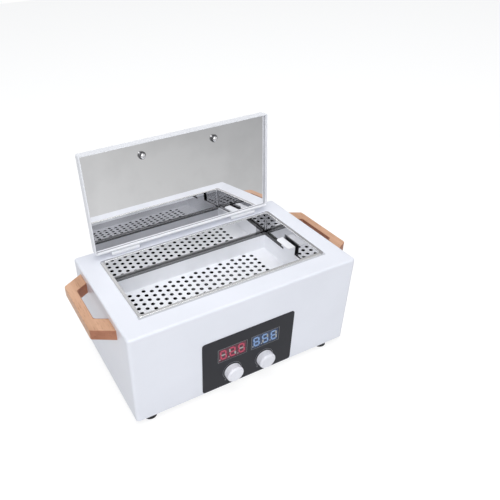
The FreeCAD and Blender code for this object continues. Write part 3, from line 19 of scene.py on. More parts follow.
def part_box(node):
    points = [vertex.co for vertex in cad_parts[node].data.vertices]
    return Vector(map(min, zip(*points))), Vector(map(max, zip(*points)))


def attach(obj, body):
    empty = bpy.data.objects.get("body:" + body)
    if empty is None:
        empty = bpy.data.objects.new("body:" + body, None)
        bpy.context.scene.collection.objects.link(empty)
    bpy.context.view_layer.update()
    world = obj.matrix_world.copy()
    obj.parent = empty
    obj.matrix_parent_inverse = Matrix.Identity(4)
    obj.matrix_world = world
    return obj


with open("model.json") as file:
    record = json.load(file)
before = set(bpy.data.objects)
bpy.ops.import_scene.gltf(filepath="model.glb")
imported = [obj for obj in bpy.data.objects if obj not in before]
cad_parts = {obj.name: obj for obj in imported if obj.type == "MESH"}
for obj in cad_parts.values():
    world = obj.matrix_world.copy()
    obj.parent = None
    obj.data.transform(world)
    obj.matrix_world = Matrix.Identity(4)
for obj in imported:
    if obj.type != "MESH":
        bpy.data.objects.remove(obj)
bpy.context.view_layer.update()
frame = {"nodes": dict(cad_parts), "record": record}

parts = frame["nodes"]

# %% [markdown]
# ## Helpers for finishes
# A finish is a small tree of nodes. Each one here starts from the Principled shader. Its pattern is
# read on Object coordinates, which are metres in this frame, so a scale of 1000 gives one cell of
# noise per millimetre. A Mapping node squeezes the pattern, which turns round noise into the long
# streaks of brushed metal or wood. Most of a noise lies between 0.3 and 0.7, so a range that is
# spread over these two uses it well.

# %% Node helpers
MM = 0.001
NOISE_LOW, NOISE_HIGH = 0.3, 0.7


def shader_of(finish):
    return finish.node_tree.nodes["Principled BSDF"]


def constant(finish, name, value):
    """A value that is the same all over, set on the shader's own socket."""
    shader_of(finish).inputs[name].default_value = value


def new_finish(name, color, roughness, metallic=0.0, specular=0.5):
    """A material with a Principled shader and plain starting values."""
    finish = bpy.data.materials.new(name)
    finish.use_nodes = True
    constant(finish, "Base Color", (*color, 1.0))
    constant(finish, "Roughness", roughness)
    constant(finish, "Metallic", metallic)
    constant(finish, "Specular IOR Level", specular)
    return finish


def add_node(finish, kind, **settings):
    """A node in a material or in the world."""
    node = finish.node_tree.nodes.new(kind)
    for name, value in settings.items():
        setattr(node, name, value)
    return node


def link(finish, output, socket):
    finish.node_tree.links.new(output, socket)


def feed(finish, name, value):
    """A value led into one of the shader's sockets, in place of what fed it before."""
    link(finish, value, shader_of(finish).inputs[name])


def fed(finish, name):
    """What feeds one of the shader's sockets now."""
    return shader_of(finish).inputs[name].links[0].from_socket


def place(finish, scale=(1, 1, 1), turn=(0, 0, 0)):
    """Object coordinates through a Mapping node."""
    coordinates = add_node(finish, "ShaderNodeTexCoord")
    mapping = add_node(finish, "ShaderNodeMapping")
    mapping.inputs["Rotation"].default_value = turn
    mapping.inputs["Scale"].default_value = scale
    link(finish, coordinates.outputs["Object"], mapping.inputs["Vector"])
    return mapping.outputs["Vector"]


def noise(finish, vector, cells, detail=3.0, rough=0.5):
    """A noise pattern, from 0 to 1, with so many cells in a metre."""
    node = add_node(finish, "ShaderNodeTexNoise")
    node.inputs["Scale"].default_value = cells
    node.inputs["Detail"].default_value = detail
    node.inputs["Roughness"].default_value = rough
    link(finish, vector, node.inputs["Vector"])
    return node.outputs["Fac"]


def between(finish, value, low, high, start=NOISE_LOW, end=NOISE_HIGH):
    """A value that goes from low to high while the given one goes from start to end."""
    node = add_node(finish, "ShaderNodeMapRange")
    node.inputs["From Min"].default_value = start
    node.inputs["From Max"].default_value = end
    node.inputs["To Min"].default_value = low
    node.inputs["To Max"].default_value = high
    link(finish, value, node.inputs["Value"])
    return node.outputs["Result"]


def colors(finish, value, stops):
    """A ramp of colours at places from 0 to 1."""
    node = add_node(finish, "ShaderNodeValToRGB")
    ramp = node.color_ramp
    while len(ramp.elements) < len(stops):
        ramp.elements.new(0.5)
    for element, (at, color) in zip(ramp.elements, stops):
        element.position = at
        element.color = (*color, 1.0)
    link(finish, value, node.inputs["Fac"])
    return node.outputs["Color"]


def darkened(color, share):
    return tuple(channel * share for channel in color)


def relief(finish, height, depth, strength):
    """A bump in the surface, its depth in metres."""
    node = add_node(finish, "ShaderNodeBump")
    node.inputs["Strength"].default_value = strength
    node.inputs["Distance"].default_value = depth
    link(finish, height, node.inputs["Height"])
    feed(finish, "Normal", node.outputs["Normal"])


print("node helpers ready")

# %% [markdown]
# ### Tones laid by place
# Some parts are darker in one place than in another. A painted picture could hold that, but it
# would need a map of each part. A place can also be told by its distance from a plane or an axis,
# or by a box along X, Y and Z, and a tone there multiplies the colour that the finish already has.
# It belongs to the part, so it stays put from wherever one looks.

# %% Place helpers
PLAIN = (1.0, 1.0, 1.0)


def sums(finish, kind, first, second):
    """One step of arithmetic on values or numbers."""
    node = add_node(finish, "ShaderNodeMath", operation=kind)
    for socket, value in zip(node.inputs, (first, second)):
        if isinstance(value, (int, float)):
            socket.default_value = value
        else:
            link(finish, value, socket)
    return node.outputs[0]


def multiplied(finish, first, second):
    """Two colours multiplied."""
    mix = add_node(finish, "ShaderNodeMix", data_type="RGBA", blend_type="MULTIPLY")
    mix.inputs["Factor"].default_value = 1.0
    link(finish, first, mix.inputs["A"])
    link(finish, second, mix.inputs["B"])
    return mix.outputs["Result"]


def axes_of(finish, turn=(0, 0, 0)):
    """Object coordinates as three values, turned first where a part leans."""
    axes = add_node(finish, "ShaderNodeSeparateXYZ")
    link(finish, place(finish, turn=turn), axes.inputs[0])
    return axes.outputs


def inside(finish, spans):
    """One inside a box, given by its spans along X, Y and Z, and zero elsewhere."""
    axes = axes_of(finish)
    share = 1.0
    for axis, (start, end) in zip("XYZ", spans):
        past = sums(finish, "GREATER_THAN", axes[axis], start)
        before = sums(finish, "LESS_THAN", axes[axis], end)
        share = sums(finish, "MULTIPLY", share, sums(finish, "MULTIPLY", past, before))
    return share


def faded(finish, value, start, end, stops):
    """Tones that change while a value goes from start to end."""
    return colors(finish, between(finish, value, 0.0, 1.0, start, end), stops)


def repaint(finish, tones):
    """Multiplies the colour that a finish has by a pattern of tones."""
    feed(finish, "Base Color", multiplied(finish, fed(finish, "Base Color"), tones))


def shade(finish, spans, tone):
    """Lays a tone on a box."""
    repaint(finish, colors(finish, inside(finish, spans), [(0.0, PLAIN), (1.0, tone)]))


def roughen(finish, spans, added):
    """Makes a box rougher."""
    more = sums(finish, "MULTIPLY", inside(finish, spans), added)
    feed(finish, "Roughness", sums(finish, "ADD", fed(finish, "Roughness"), more))


print("place helpers ready")

# %% [markdown]
# ## Enamel
# The case, the lid and the hinges are sheet steel with a white stoved enamel. Stoved enamel isn't
# flat: it has a fine orange-peel skin about a millimetre across, and its gloss varies a little. A
# noise of that size goes into a very shallow bump, and a coarser one into the roughness. A clear
# coat over it gives the sharp gloss that stoving leaves.

# %% Enamel
finishes = {}
CASE_WHITE = (0.86, 0.875, 0.94)
# The lid and hinges take the case's enamel made paler: painted light, for parts that should catch more
# light than the case.
PALER_LIT_WHITE = (0.90, 0.91, 0.95)
COAT, COAT_ROUGHNESS = 0.35, 0.12
CLOUD_CELLS = 14.0
SKIN_CELLS = 620.0
SKIN_DEPTH = 0.02 * MM


def enamel(name, color, roughness):
    finish = new_finish(name, color, roughness)
    constant(finish, "Coat Weight", COAT)
    constant(finish, "Coat Roughness", COAT_ROUGHNESS)
    where = place(finish)
    cloud = noise(finish, where, CLOUD_CELLS, detail=4.0)
    tints = [(0.3, darkened(color, 0.965)), (0.65, color)]
    feed(finish, "Base Color", colors(finish, cloud, tints))
    feed(finish, "Roughness", between(finish, cloud, roughness - 0.05, roughness + 0.07))
    relief(finish, noise(finish, where, SKIN_CELLS, detail=2.0), SKIN_DEPTH, strength=0.35)
    return finish


finishes["white_paint"] = enamel("white enamel", CASE_WHITE, 0.34)
finishes["hinge_white"] = enamel("hinge enamel", PALER_LIT_WHITE, 0.38)
print("enamel", len(finishes))

# %% [markdown]
# ### Painted shade in front of the lip
# A thin grey band is painted on the enamel in front of the chamber's lip. It is painted shade, standing
# in for the shaded outer edge of the lip. It is flush with the enamel, so it needs no piece of its own:
# a tone on a narrow box along the front of the lip draws it.

# %% Painted lip shade
LIP_SHADE_TONE = (0.68, 0.68, 0.68)
LIP_SHADE_WIDTH = 1.9 * MM
LIP_SHADE_BEYOND = 0.8 * MM
LIP_SHADE_UNDER_LIP = 4 * MM
LIP_SHADE_DEPTH = 6 * MM

lip_low, lip_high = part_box("chamber_basin")
lip_shade_spans = (
    (lip_low.x - LIP_SHADE_BEYOND, lip_high.x + LIP_SHADE_BEYOND),
    (lip_low.y - LIP_SHADE_WIDTH, lip_low.y + LIP_SHADE_UNDER_LIP),
    (lip_high.z - LIP_SHADE_DEPTH, lip_high.z),
)
# Painted shade: a grey band on the enamel along the front of the chamber's lip.
shade(finishes["white_paint"], lip_shade_spans, LIP_SHADE_TONE)
print("painted lip shade from x", round(lip_shade_spans[0][0], 4), "to", round(lip_shade_spans[0][1], 4))

# %% [markdown]
# ## Steel
# Three steels lie side by side. The chamber is polished sheet with faint drawing streaks, the tray is
# satin with a grain along its length, and the liner is a mirror. They share one recipe: the colour
# of the metal with faint stains, a roughness that varies, and streaks in a shallow bump. The
# roughness and the direction of the streaks tell them apart. Satin sheet scatters light almost as
# paint does, so the tray's shader is only a little metallic.

# %% Steel
EVEN = (1, 1, 1)
STAIN_CELLS = 22.0
PLATING = (0.85, 0.85, 0.86)
SATIN_METALLIC = 0.16


def steel(name, color, roughness, spread, streaks, depth, grain=EVEN):
    """Metal with so many streaks in a metre, a number of millimetres deep. The roughness varies by
    its spread, and the grain is the squeeze of the streaks along X, Y and Z."""
    finish = new_finish(name, color, roughness, metallic=1.0)
    lines = noise(finish, place(finish, scale=grain), streaks, detail=4.0, rough=0.6)
    stains = noise(finish, place(finish), STAIN_CELLS)
    both = sums(finish, "MULTIPLY", lines, stains)
    varied = between(finish, both, roughness, roughness + spread, start=0.12, end=0.42)
    feed(finish, "Roughness", varied)
    tints = [(0.35, darkened(color, 0.93)), (0.6, color)]
    feed(finish, "Base Color", colors(finish, stains, tints))
    relief(finish, lines, depth * MM, strength=0.5)
    return finish


finishes["polished_steel"] = steel(
    "polished sheet", (0.80, 0.80, 0.80), 0.006, 0.012, streaks=160, depth=0.0003, grain=(0.08, 0.08, 1)
)
finishes["satin_steel"] = steel(
    "satin sheet", (0.92, 0.93, 0.965), 0.38, 0.10, streaks=900, depth=0.006, grain=(0.03, 1, 1)
)
finishes["mirror_steel"] = steel(
    "mirror sheet", (0.92, 0.92, 0.925), 0.006, 0.01, streaks=90, depth=0.0001, grain=(0.1, 1, 1)
)
finishes["aluminium"] = steel(
    "milled aluminium", (0.78, 0.78, 0.79), 0.30, 0.12, streaks=700, depth=0.01, grain=(0.05, 1, 1)
)
finishes["transformer"] = steel(
    "laminated core", (0.22, 0.22, 0.23), 0.45, 0.15, streaks=1500, depth=0.05, grain=(1, 1, 0.05)
)
finishes["plain_steel"] = steel("zinc plated", (0.60, 0.61, 0.62), 0.28, 0.15, streaks=500, depth=0.006)
finishes["brass"] = steel("brass", (0.80, 0.62, 0.32), 0.25, 0.12, streaks=600, depth=0.004)
finishes["chrome"] = steel("bright plating", PLATING, 0.06, 0.04, streaks=300, depth=0.001)
finishes["dome_nut"] = steel("dome nut", PLATING, 0.06, 0.04, streaks=300, depth=0.001)
constant(finishes["satin_steel"], "Metallic", SATIN_METALLIC)
print("steels", len(finishes))

# %% [markdown]
# ### Painted shade and reflections on the chamber and the tray
# Polished steel shows the room round it, and this studio is plain and pale. A real room has dark
# corners too; building them round the machine would change its light, so the dark places are painted as
# tones on the parts instead. On the chamber they are painted reflections: its floor, its front and
# right walls and the corner behind the tray are darker where they would mirror dark things, and two
# patches beside the tray's ear stand for the mirrored dark back of the ear and the gap behind it. The
# dark floor is also painted shade, seen through the tray's holes. On the tray the tones are painted
# shade: on the walls of the holes, on the folded rims and on the inner face of the front wall.

# %% Painted shade and reflections
FAR = 1.0
ALL = (-FAR, FAR)
FLOOR_EDGE = 74.5 * MM
RIGHT_WALL = (119 * MM, FAR)
RIM_BOTTOM, RIM_TOP = 101.4 * MM, 104.6 * MM
RIM_LEFT, RIM_RIGHT = -110 * MM, 112 * MM
tray_low, tray_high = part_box("tray")

# Painted reflections of dark things on the polished chamber; the floor's tone is also painted shade
# under the tray's holes.
CHAMBER_SHADES = {
    "floor": ((ALL, ALL, (-FAR, FLOOR_EDGE)), 0.14),
    "front wall": ((ALL, (-FAR, tray_low.y - 0.5 * MM), (FLOOR_EDGE, 130 * MM)), 0.60),
    "right wall": ((RIGHT_WALL, ALL, (FLOOR_EDGE, FAR)), 0.72),
    "rear right corner": (((104 * MM, FAR), (48 * MM, FAR), (FLOOR_EDGE, 132.5 * MM)), 0.58),
    "over the ear": ((RIGHT_WALL, (-11.5 * MM, 6 * MM), (114 * MM, 122.5 * MM)), 0.20),
    "in front of the ear": ((RIGHT_WALL, (-25.5 * MM, -11.5 * MM), (100.5 * MM, 122.5 * MM)), 0.20),
}
# Painted shade on the tray: the walls of the holes, the folded rims and the inner face of the front
# wall.
TRAY_SHADES = {
    "walls of the holes": (
        ((-114 * MM, 114 * MM), (-52 * MM, 52 * MM), (tray_low.z - MM, tray_low.z + 0.7 * MM)),
        0.08,
    ),
    "rear rim": (((RIM_LEFT, RIM_RIGHT), (tray_low.y + 4 * MM, FAR), (RIM_BOTTOM, RIM_TOP)), 0.19),
    "right rim": (((RIM_RIGHT, FAR), (2 * MM, FAR), (RIM_BOTTOM, RIM_TOP)), 0.06),
    "front rim": ((ALL, (tray_low.y + MM, tray_low.y + 3 * MM), (RIM_BOTTOM, RIM_TOP)), 0.08),
    "front wall": (
        (ALL, (tray_low.y + 2.2 * MM, tray_low.y + 2.6 * MM), (81 * MM, RIM_BOTTOM)),
        0.60,
    ),
}


def shade_all(finish, shades):
    for spans, tone in shades.values():
        shade(finish, spans, (tone, tone, tone * 1.02))


shade_all(finishes["polished_steel"], CHAMBER_SHADES)
shade_all(finishes["satin_steel"], TRAY_SHADES)
print("dark places", len(CHAMBER_SHADES) + len(TRAY_SHADES))

# %% [markdown]
# ### Dull places on the chamber
# The lip round the chamber's mouth is handled every day, and the tray's rear rim rubs the wall each
# time it comes out. Both places have lost some polish. Added roughness blurs what they mirror,
# while their colour stays.

# %% Dull places
LIP = (ALL, ALL, (133 * MM, FAR))
LIP_DULLED = 0.22
RUBBED = ((RIM_LEFT, RIM_RIGHT), (tray_high.y, FAR), (101.8 * MM, 107.5 * MM))
RUBBED_DULLED = 0.396

roughen(finishes["polished_steel"], LIP, LIP_DULLED)
roughen(finishes["polished_steel"], RUBBED, RUBBED_DULLED)
print("dull places added")

# %% [markdown]
# ### The dome nuts
# Each dome nut carries a painted reflection: the skirt round its crown is darkened, as the dark
# surroundings that a chrome dome mirrors near its edge, and the crown keeps nearly the plating's own
# bright tone. The pattern measures how far a point is from the axis of its nut, and takes the crown's
# tone inside a small circle. The two nuts stand mirrored about the middle of the lid, so one distance,
# without its sign along X, serves both.

# %% Dome nuts
CROWN_RADIUS = 2.7 * MM
CROWN_FADE = 0.6 * MM
# Tones of the crown and the skirt; the skirt's dark is a painted reflection.
NUT_REFLECTION_TONES = [(0.0, (0.95, 0.95, 0.95)), (1.0, (0.22, 0.22, 0.225))]


def axis_distance(finish, low, high):
    """The distance from the axis of the nearer nut of the pair."""
    nut_radius = (high.z - low.z) / 2
    axes = axes_of(finish)
    level = sums(finish, "SUBTRACT", axes["Z"], (low.z + high.z) / 2)
    side = sums(finish, "SUBTRACT", sums(finish, "ABSOLUTE", axes["X"], 0.0), high.x - nut_radius)
    squares = [sums(finish, "POWER", value, 2.0) for value in (level, side)]
    return sums(finish, "SQRT", sums(finish, "ADD", *squares), 0.0)


nut_finish = finishes["dome_nut"]
reach = axis_distance(nut_finish, *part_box("lid_dome_nuts"))
repaint(nut_finish, faded(nut_finish, reach, CROWN_RADIUS, CROWN_RADIUS + CROWN_FADE, NUT_REFLECTION_TONES))
print("dome nut ready")

# %% [markdown]
# ### The seam round the liner
# The liner is tucked under the lip of the lid, and a thin shadow line runs along that seam. The lid
# leans back, so its coordinates are turned upright first. Then the distance to the nearest edge
# darkens the last half millimetre of the sheet.

# %% Liner seam
LID_LEAN = math.radians(5.3)
SEAM_WIDTH = 0.5 * MM
SEAM_END = 1.0 * MM
SEAM_TONES = [(0.0, (0.30, 0.30, 0.32)), (1.0, PLAIN)]


def seam_distance(finish, sheet):
    """The distance in from the nearest edge of the liner."""
    turned = [Matrix.Rotation(LID_LEAN, 3, "X") @ corner.co for corner in sheet.data.vertices]
    left, right = min(spot.x for spot in turned), max(spot.x for spot in turned)
    bottom, top = min(spot.z for spot in turned), max(spot.z for spot in turned)
    axes = axes_of(finish, turn=(LID_LEAN, 0, 0))
    from_left = sums(finish, "SUBTRACT", axes["X"], left)
    from_right = sums(finish, "SUBTRACT", right, axes["X"])
    from_bottom = sums(finish, "SUBTRACT", axes["Z"], bottom)
    from_top = sums(finish, "SUBTRACT", top, axes["Z"])
    from_ends = sums(finish, "MINIMUM", from_bottom, from_top)
    return sums(finish, "MINIMUM", from_ends, sums(finish, "MINIMUM", from_left, from_right))


liner_finish = finishes["mirror_steel"]
from_edge = seam_distance(liner_finish, parts["lid_liner"])
repaint(liner_finish, faded(liner_finish, from_edge, SEAM_WIDTH, SEAM_END, SEAM_TONES))
print("seam added")

# %% [markdown]
# ## Beech
# The handles are sawn from beech boards, so the grain runs along each grip. Growth rings are wide
# wavy bands; over them lie the short dark flecks that mark beech. The bands are a noise squeezed
# hard along the grain, and the flecks a finer one.

# %% Beech
WOOD = (0.7, 0.42, 0.25)
WOOD_ROUGHNESS = 0.42
RING_TONES = [(0.3, (0.54, 0.30, 0.18)), (0.5, (0.68, 0.40, 0.255)), (0.68, (0.76, 0.48, 0.32))]
FLECK_TONES = [(0.3, (0.76, 0.70, 0.66)), (0.42, PLAIN)]
RINGS_ACROSS, RINGS_ALONG = 70.0, 5.0
FLECKS_ACROSS, FLECKS_ALONG = 900.0, 90.0
FLECK_DEPTH = 0.06 * MM


def grained(across, along, axis):
    """A scale for a pattern that is drawn out along one axis, 0 for X and 1 for Y."""
    scale = [across, across, across]
    scale[axis] = along
    return scale


def beech(name, axis):
    """Wood with its grain along one axis."""
    finish = new_finish(name, WOOD, WOOD_ROUGHNESS)
    ring_place = place(finish, scale=grained(RINGS_ACROSS, RINGS_ALONG, axis))
    rings = noise(finish, ring_place, 1.0, detail=5.0, rough=0.55)
    fleck_place = place(finish, scale=grained(FLECKS_ACROSS, FLECKS_ALONG, axis))
    flecks = noise(finish, fleck_place, 1.0, detail=2.0)
    feed(finish, "Base Color", colors(finish, rings, RING_TONES))
    repaint(finish, colors(finish, flecks, FLECK_TONES))
    feed(finish, "Roughness", between(finish, rings, 0.36, 0.5))
    relief(finish, flecks, FLECK_DEPTH, strength=0.4)
    return finish


beech_finishes = {
    "lid_handle": beech("beech, lid handle", 0),
    "left_handle": beech("beech, left handle", 1),
    "right_handle": beech("beech, right handle", 1),
}
print("beech", len(beech_finishes))

# %% [markdown]
# ### Sawn ends and painted shade in the hand hole
# Where the saw crossed the grain, at the slanting ends, the wood drinks more oil and goes darker, and
# these ends are also turned away from the light above, so their tone is partly the wood's own and
# partly painted shade. The faces in the hand hole look in towards the case, and their darker tone is
# painted shade. Those faces lie in slanting planes, two at the ends and two in the hand hole. A pattern
# that measures the distance to such a plane is dark within half a millimetre of it, and so colours the
# end grain and the hand hole and leaves the sides pale. The grip's own face in the hand hole takes the
# same painted shade.

# %% Sawn ends and hand-hole shade
SAWN_ENDS = {"seat": 60.3 * MM, "lean": 0.60}
WINDOW_ENDS = {"seat": 37.3 * MM, "lean": 0.586}
WINDOW_REACH = 14.5 * MM
WINDOW_HALF = 29.2 * MM
# Ends: the end grain's own darker tone together with painted shade. Hand hole: painted shade.
END_GRAIN_AND_SHADE_TONES = [(0.0, (0.64, 0.45, 0.39)), (1.0, PLAIN)]
END_FADE = (0.3 * MM, 0.8 * MM)
WINDOW_SHADE_TONES = [(0.0, (0.56, 0.39, 0.33)), (1.0, PLAIN)]
WINDOW_FADE = (0.4 * MM, 0.7 * MM)


def own_axes(finish, low, high, outwards):
    """How far a point of a side handle is out from the case, and how far along from its middle."""
    axes = axes_of(finish)
    seat = low.x if outwards > 0 else high.x
    out = sums(finish, "MULTIPLY", sums(finish, "SUBTRACT", axes["X"], seat), outwards)
    from_middle = sums(finish, "SUBTRACT", axes["Y"], (low.y + high.y) / 2)
    return out, sums(finish, "ABSOLUTE", from_middle, 0.0)


def plane_distance(finish, out, along, seat, lean):
    """The distance in from a slanting plane, which starts at the seat and leans to the middle."""
    plane = sums(finish, "SUBTRACT", seat, sums(finish, "MULTIPLY", out, lean))
    return sums(finish, "MULTIPLY", sums(finish, "SUBTRACT", plane, along), 1 / math.hypot(1, lean))


def window_distance(finish, out, along):
    """The distance from the faces inside the hand hole."""
    slant = sums(finish, "ABSOLUTE", plane_distance(finish, out, along, **WINDOW_ENDS), 0.0)
    slant = sums(finish, "ADD", slant, sums(finish, "GREATER_THAN", out, WINDOW_REACH))
    grip = sums(finish, "ABSOLUTE", sums(finish, "SUBTRACT", out, WINDOW_REACH), 0.0)
    grip = sums(finish, "ADD", grip, sums(finish, "GREATER_THAN", along, WINDOW_HALF))
    return sums(finish, "MINIMUM", slant, grip)


def darken_ends_and_window_shade(finish, low, high, outwards):
    """Darkens a side handle's ends, partly end grain and partly painted shade, and paints shade on the
    faces of its hand hole.
    """
    out, along = own_axes(finish, low, high, outwards)
    from_end = plane_distance(finish, out, along, **SAWN_ENDS)
    repaint(finish, faded(finish, from_end, *END_FADE, END_GRAIN_AND_SHADE_TONES))
    from_window = window_distance(finish, out, along)
    repaint(finish, faded(finish, from_window, *WINDOW_FADE, WINDOW_SHADE_TONES))


for part_name, outwards in {"left_handle": -1, "right_handle": 1}.items():
    darken_ends_and_window_shade(beech_finishes[part_name], *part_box(part_name), outwards)
print("sawn ends added")

# %% [markdown]
# ## Plastics, rubber and the rest
# The panel is a charcoal film with a fine texture, the knobs are satin white, and the feet are
# rubber. Moulded parts share one recipe: a fine even texture in the bump and a slow change of gloss.
# How fine the texture is, how deep it is and how much it shines tell film from rubber or wool.

# %% Moulded parts
GLOSS_CELLS = 40.0


def moulded(name, color, roughness, texture=1400.0, depth=0.03, gloss=0.5):
    """A moulding with so many cells of texture in a metre, a number of millimetres deep."""
    finish = new_finish(name, color, roughness, specular=gloss)
    where = place(finish)
    slow = noise(finish, where, GLOSS_CELLS)
    feed(finish, "Roughness", between(finish, slow, roughness - 0.05, roughness + 0.06))
    tints = [(0.3, darkened(color, 0.9)), (0.65, color)]
    feed(finish, "Base Color", colors(finish, slow, tints))
    relief(finish, noise(finish, where, texture, detail=2.0), depth * MM, strength=0.4)
    return finish


finishes["panel"] = moulded(
    "charcoal film", (0.0215, 0.0222, 0.0285), 0.40, texture=2200.0, depth=0.01, gloss=0.35
)
finishes["rubber"] = moulded(
    "black rubber", (0.022, 0.022, 0.024), 0.75, texture=700.0, depth=0.08, gloss=0.3
)
finishes["blanket"] = moulded(
    "mineral wool", (0.72, 0.69, 0.60), 0.95, texture=320.0, depth=1.2, gloss=0.1
)
finishes["knob_white"] = moulded(
    "white knob", (0.90, 0.90, 0.955), 0.36, texture=1500.0, depth=0.01
)
finishes["rocker_black"] = moulded(
    "black rocker", (0.015, 0.015, 0.016), 0.22, texture=1500.0, depth=0.005
)
finishes["loom_black"] = moulded(
    "black sleeve", (0.02, 0.02, 0.02), 0.55, texture=900.0, depth=0.05
)
finishes["lead_white"] = moulded(
    "white glass sleeve", (0.75, 0.75, 0.72), 0.6, texture=1200.0, depth=0.1
)
finishes["board_green"] = moulded(
    "circuit board", (0.015, 0.15, 0.06), 0.3, texture=500.0, depth=0.02
)
finishes["black_plastic"] = moulded("black moulding", (0.018, 0.018, 0.019), 0.42)
finishes["relay_case"] = moulded("blue relay case", (0.02, 0.09, 0.42), 0.35)
finishes["ribbon_grey"] = moulded("grey ribbon", (0.42, 0.42, 0.43), 0.5)
print("moulded", len(finishes))

# %% [markdown]
# ## Displays
# Each display is a smoked block with its segments moulded in. A lit segment glows, so its shader has an
# emission; an unlit one is only a paler grey than the smoked face round it. The smoked faces' tints,
# red on one and blue on the other, are painted light, standing in for the glow of the lit segments on
# them. The segments are solids of their own, so no picture of digits is needed.


# %% Displays
def glowing(name, color, strength):
    finish = new_finish(name, color, 0.4)
    constant(finish, "Emission Color", (*color, 1.0))
    constant(finish, "Emission Strength", strength)
    feed(finish, "Roughness", between(finish, noise(finish, place(finish), 300.0), 0.3, 0.5))
    return finish


def smoked(name, color):
    return moulded(name, color, 0.30, texture=1500.0, depth=0.004, gloss=0.3)


# The faces' red and blue tints are painted light from the segments.
finishes["display_red"] = smoked("smoked face, red", (0.140, 0.048, 0.068))
finishes["display_blue"] = smoked("smoked face, blue", (0.060, 0.082, 0.145))
finishes["red_lit"] = glowing("red segment", (0.41, 0.050, 0.095), 0.35)
finishes["blue_lit"] = glowing("blue segment", (0.18, 0.29, 0.50), 0.29)
finishes["unlit"] = moulded("unlit segment", (0.42, 0.43, 0.42), 0.4)
print("displays", len(finishes))

# %% [markdown]
# ## Giving every part its finish
# Each part names the finish that it takes in the part's own record, and a few parts have one of their
# own. Each handle takes its own wood, because the grain follows its board. The dome nuts take their two
# tones with the painted reflection, and the lid's pan takes the same paler enamel as the hinges, a
# white made paler as painted light.

# %% Assign the finishes
slot_of = {row["node"]: row["material_slot"] for row in frame["record"]["subparts"]}
own_finishes = {
    **beech_finishes,
    "lid_dome_nuts": finishes["dome_nut"],
    "lid_shell": finishes["hinge_white"],
}


def dress(part, finish):
    part.data.materials.clear()
    part.data.materials.append(finish)


for part_name, part in parts.items():
    dress(part, own_finishes.get(part_name) or finishes[slot_of[part_name]])
print("dressed", len(parts), "of them", len(own_finishes), "with a finish of their own")

# %% [markdown]
# ## Printed marks on the panel
# The panel carries fine print in pale grey: a frame round each display, an open ring round each
# knob and plain numbers on the dials. Print has next to no thickness, so each mark is a flat strip
# that stands a few hundredths of a millimetre in front of the film. A strip along a path is easiest
# as two rows of points bridged together.

# %% Print helpers
PRINT_LIFT = 0.04 * MM
PRINT_THICKNESS = 0.9 * PRINT_LIFT
PRINT_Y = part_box("control_panel")[0].y - PRINT_LIFT
print_finish = moulded("pale grey print", (0.28, 0.285, 0.30), 0.5)


def new_object(name, data):
    """An object at the origin, in the scene."""
    holder = bpy.data.objects.new(name, data)
    bpy.context.collection.objects.link(holder)
    return holder


def mesh_of(name, form):
    """A mesh from a bmesh, which isn't needed any more."""
    mesh = bpy.data.meshes.new(name)
    form.to_mesh(mesh)
    form.free()
    return mesh


def printed(name, form):
    """A finished mark, which stays with the case."""
    mesh = mesh_of(name, form)
    mesh.materials.append(print_finish)
    mark = new_object(name, mesh)
    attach(mark, "case")
    print(name, len(mesh.polygons), "faces")


def thicken(form):
    """Gives flat print its thickness, back to just above the film."""
    bmesh.ops.recalc_face_normals(form, faces=form.faces)
    if form.faces[:] and form.faces[0].normal.y > 0:
        bmesh.ops.reverse_faces(form, faces=form.faces)
    bmesh.ops.solidify(form, geom=form.faces[:], thickness=PRINT_THICKNESS)


def printed_strip(name, inner, outer, closed):
    """A strip between two rows of points, given by their places along X and Z."""
    form = bmesh.new()
    inner_row = [form.verts.new((x, PRINT_Y, z)) for x, z in inner]
    outer_row = [form.verts.new((x, PRINT_Y, z)) for x, z in outer]
    steps = len(inner_row) if closed else len(inner_row) - 1
    for index in range(steps):
        after = (index + 1) % len(inner_row)
        form.faces.new((inner_row[index], outer_row[index], outer_row[after], inner_row[after]))
    thicken(form)
    printed(name, form)


print("print at y", round(PRINT_Y, 5))

# %% [markdown]
# ### The frames round the displays
# Each frame is a rectangle a little larger than the display's window. An inset of one face would do
# too, but two rows of corners let the gap to the window be wider at its sides than over and under it.

# %% Display frames
SIDES = ("left", "right")
FRAME_GAP_X = 0.8 * MM
FRAME_GAP_Z = 0.35 * MM
FRAME_LINE = 0.45 * MM


def rectangle(low, high, grow_x, grow_z):
    return [
        (low.x - grow_x, low.z - grow_z),
        (high.x + grow_x, low.z - grow_z),
        (high.x + grow_x, high.z + grow_z),
        (low.x - grow_x, high.z + grow_z),
    ]


for side_name in SIDES:
    low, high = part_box(side_name + "_display")
    inner = rectangle(low, high, FRAME_GAP_X, FRAME_GAP_Z)
    outer = rectangle(low, high, FRAME_GAP_X + FRAME_LINE, FRAME_GAP_Z + FRAME_LINE)
    printed_strip(side_name + "_display_frame", inner, outer, closed=True)

# %% [markdown]
# ### The dial rings
# A thin ring runs round each knob and stays open at the bottom, where the scale begins and ends. Two
# arcs with the same number of steps make its edges.

# %% Dial rings
RING_GAP = 1.5 * MM
RING_LINE = 0.45 * MM
RING_START, RING_END = math.radians(-60), math.radians(240)
RING_STEPS = 72


def knob_circle(side_name):
    """The centre of a knob and its radius."""
    low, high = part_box(side_name + "_knob")
    return (low + high) / 2, (high.x - low.x) / 2


def on_circle(centre, radius, angle):
    return centre.x + radius * math.cos(angle), centre.z + radius * math.sin(angle)


def ring_edge(centre, radius):
    step = (RING_END - RING_START) / RING_STEPS
    return [on_circle(centre, radius, RING_START + step * index) for index in range(RING_STEPS + 1)]


for side_name in SIDES:
    centre, knob_radius = knob_circle(side_name)
    inner = ring_edge(centre, knob_radius + RING_GAP)
    outer = ring_edge(centre, knob_radius + RING_GAP + RING_LINE)
    printed_strip(side_name + "_dial_ring", inner, outer, closed=False)

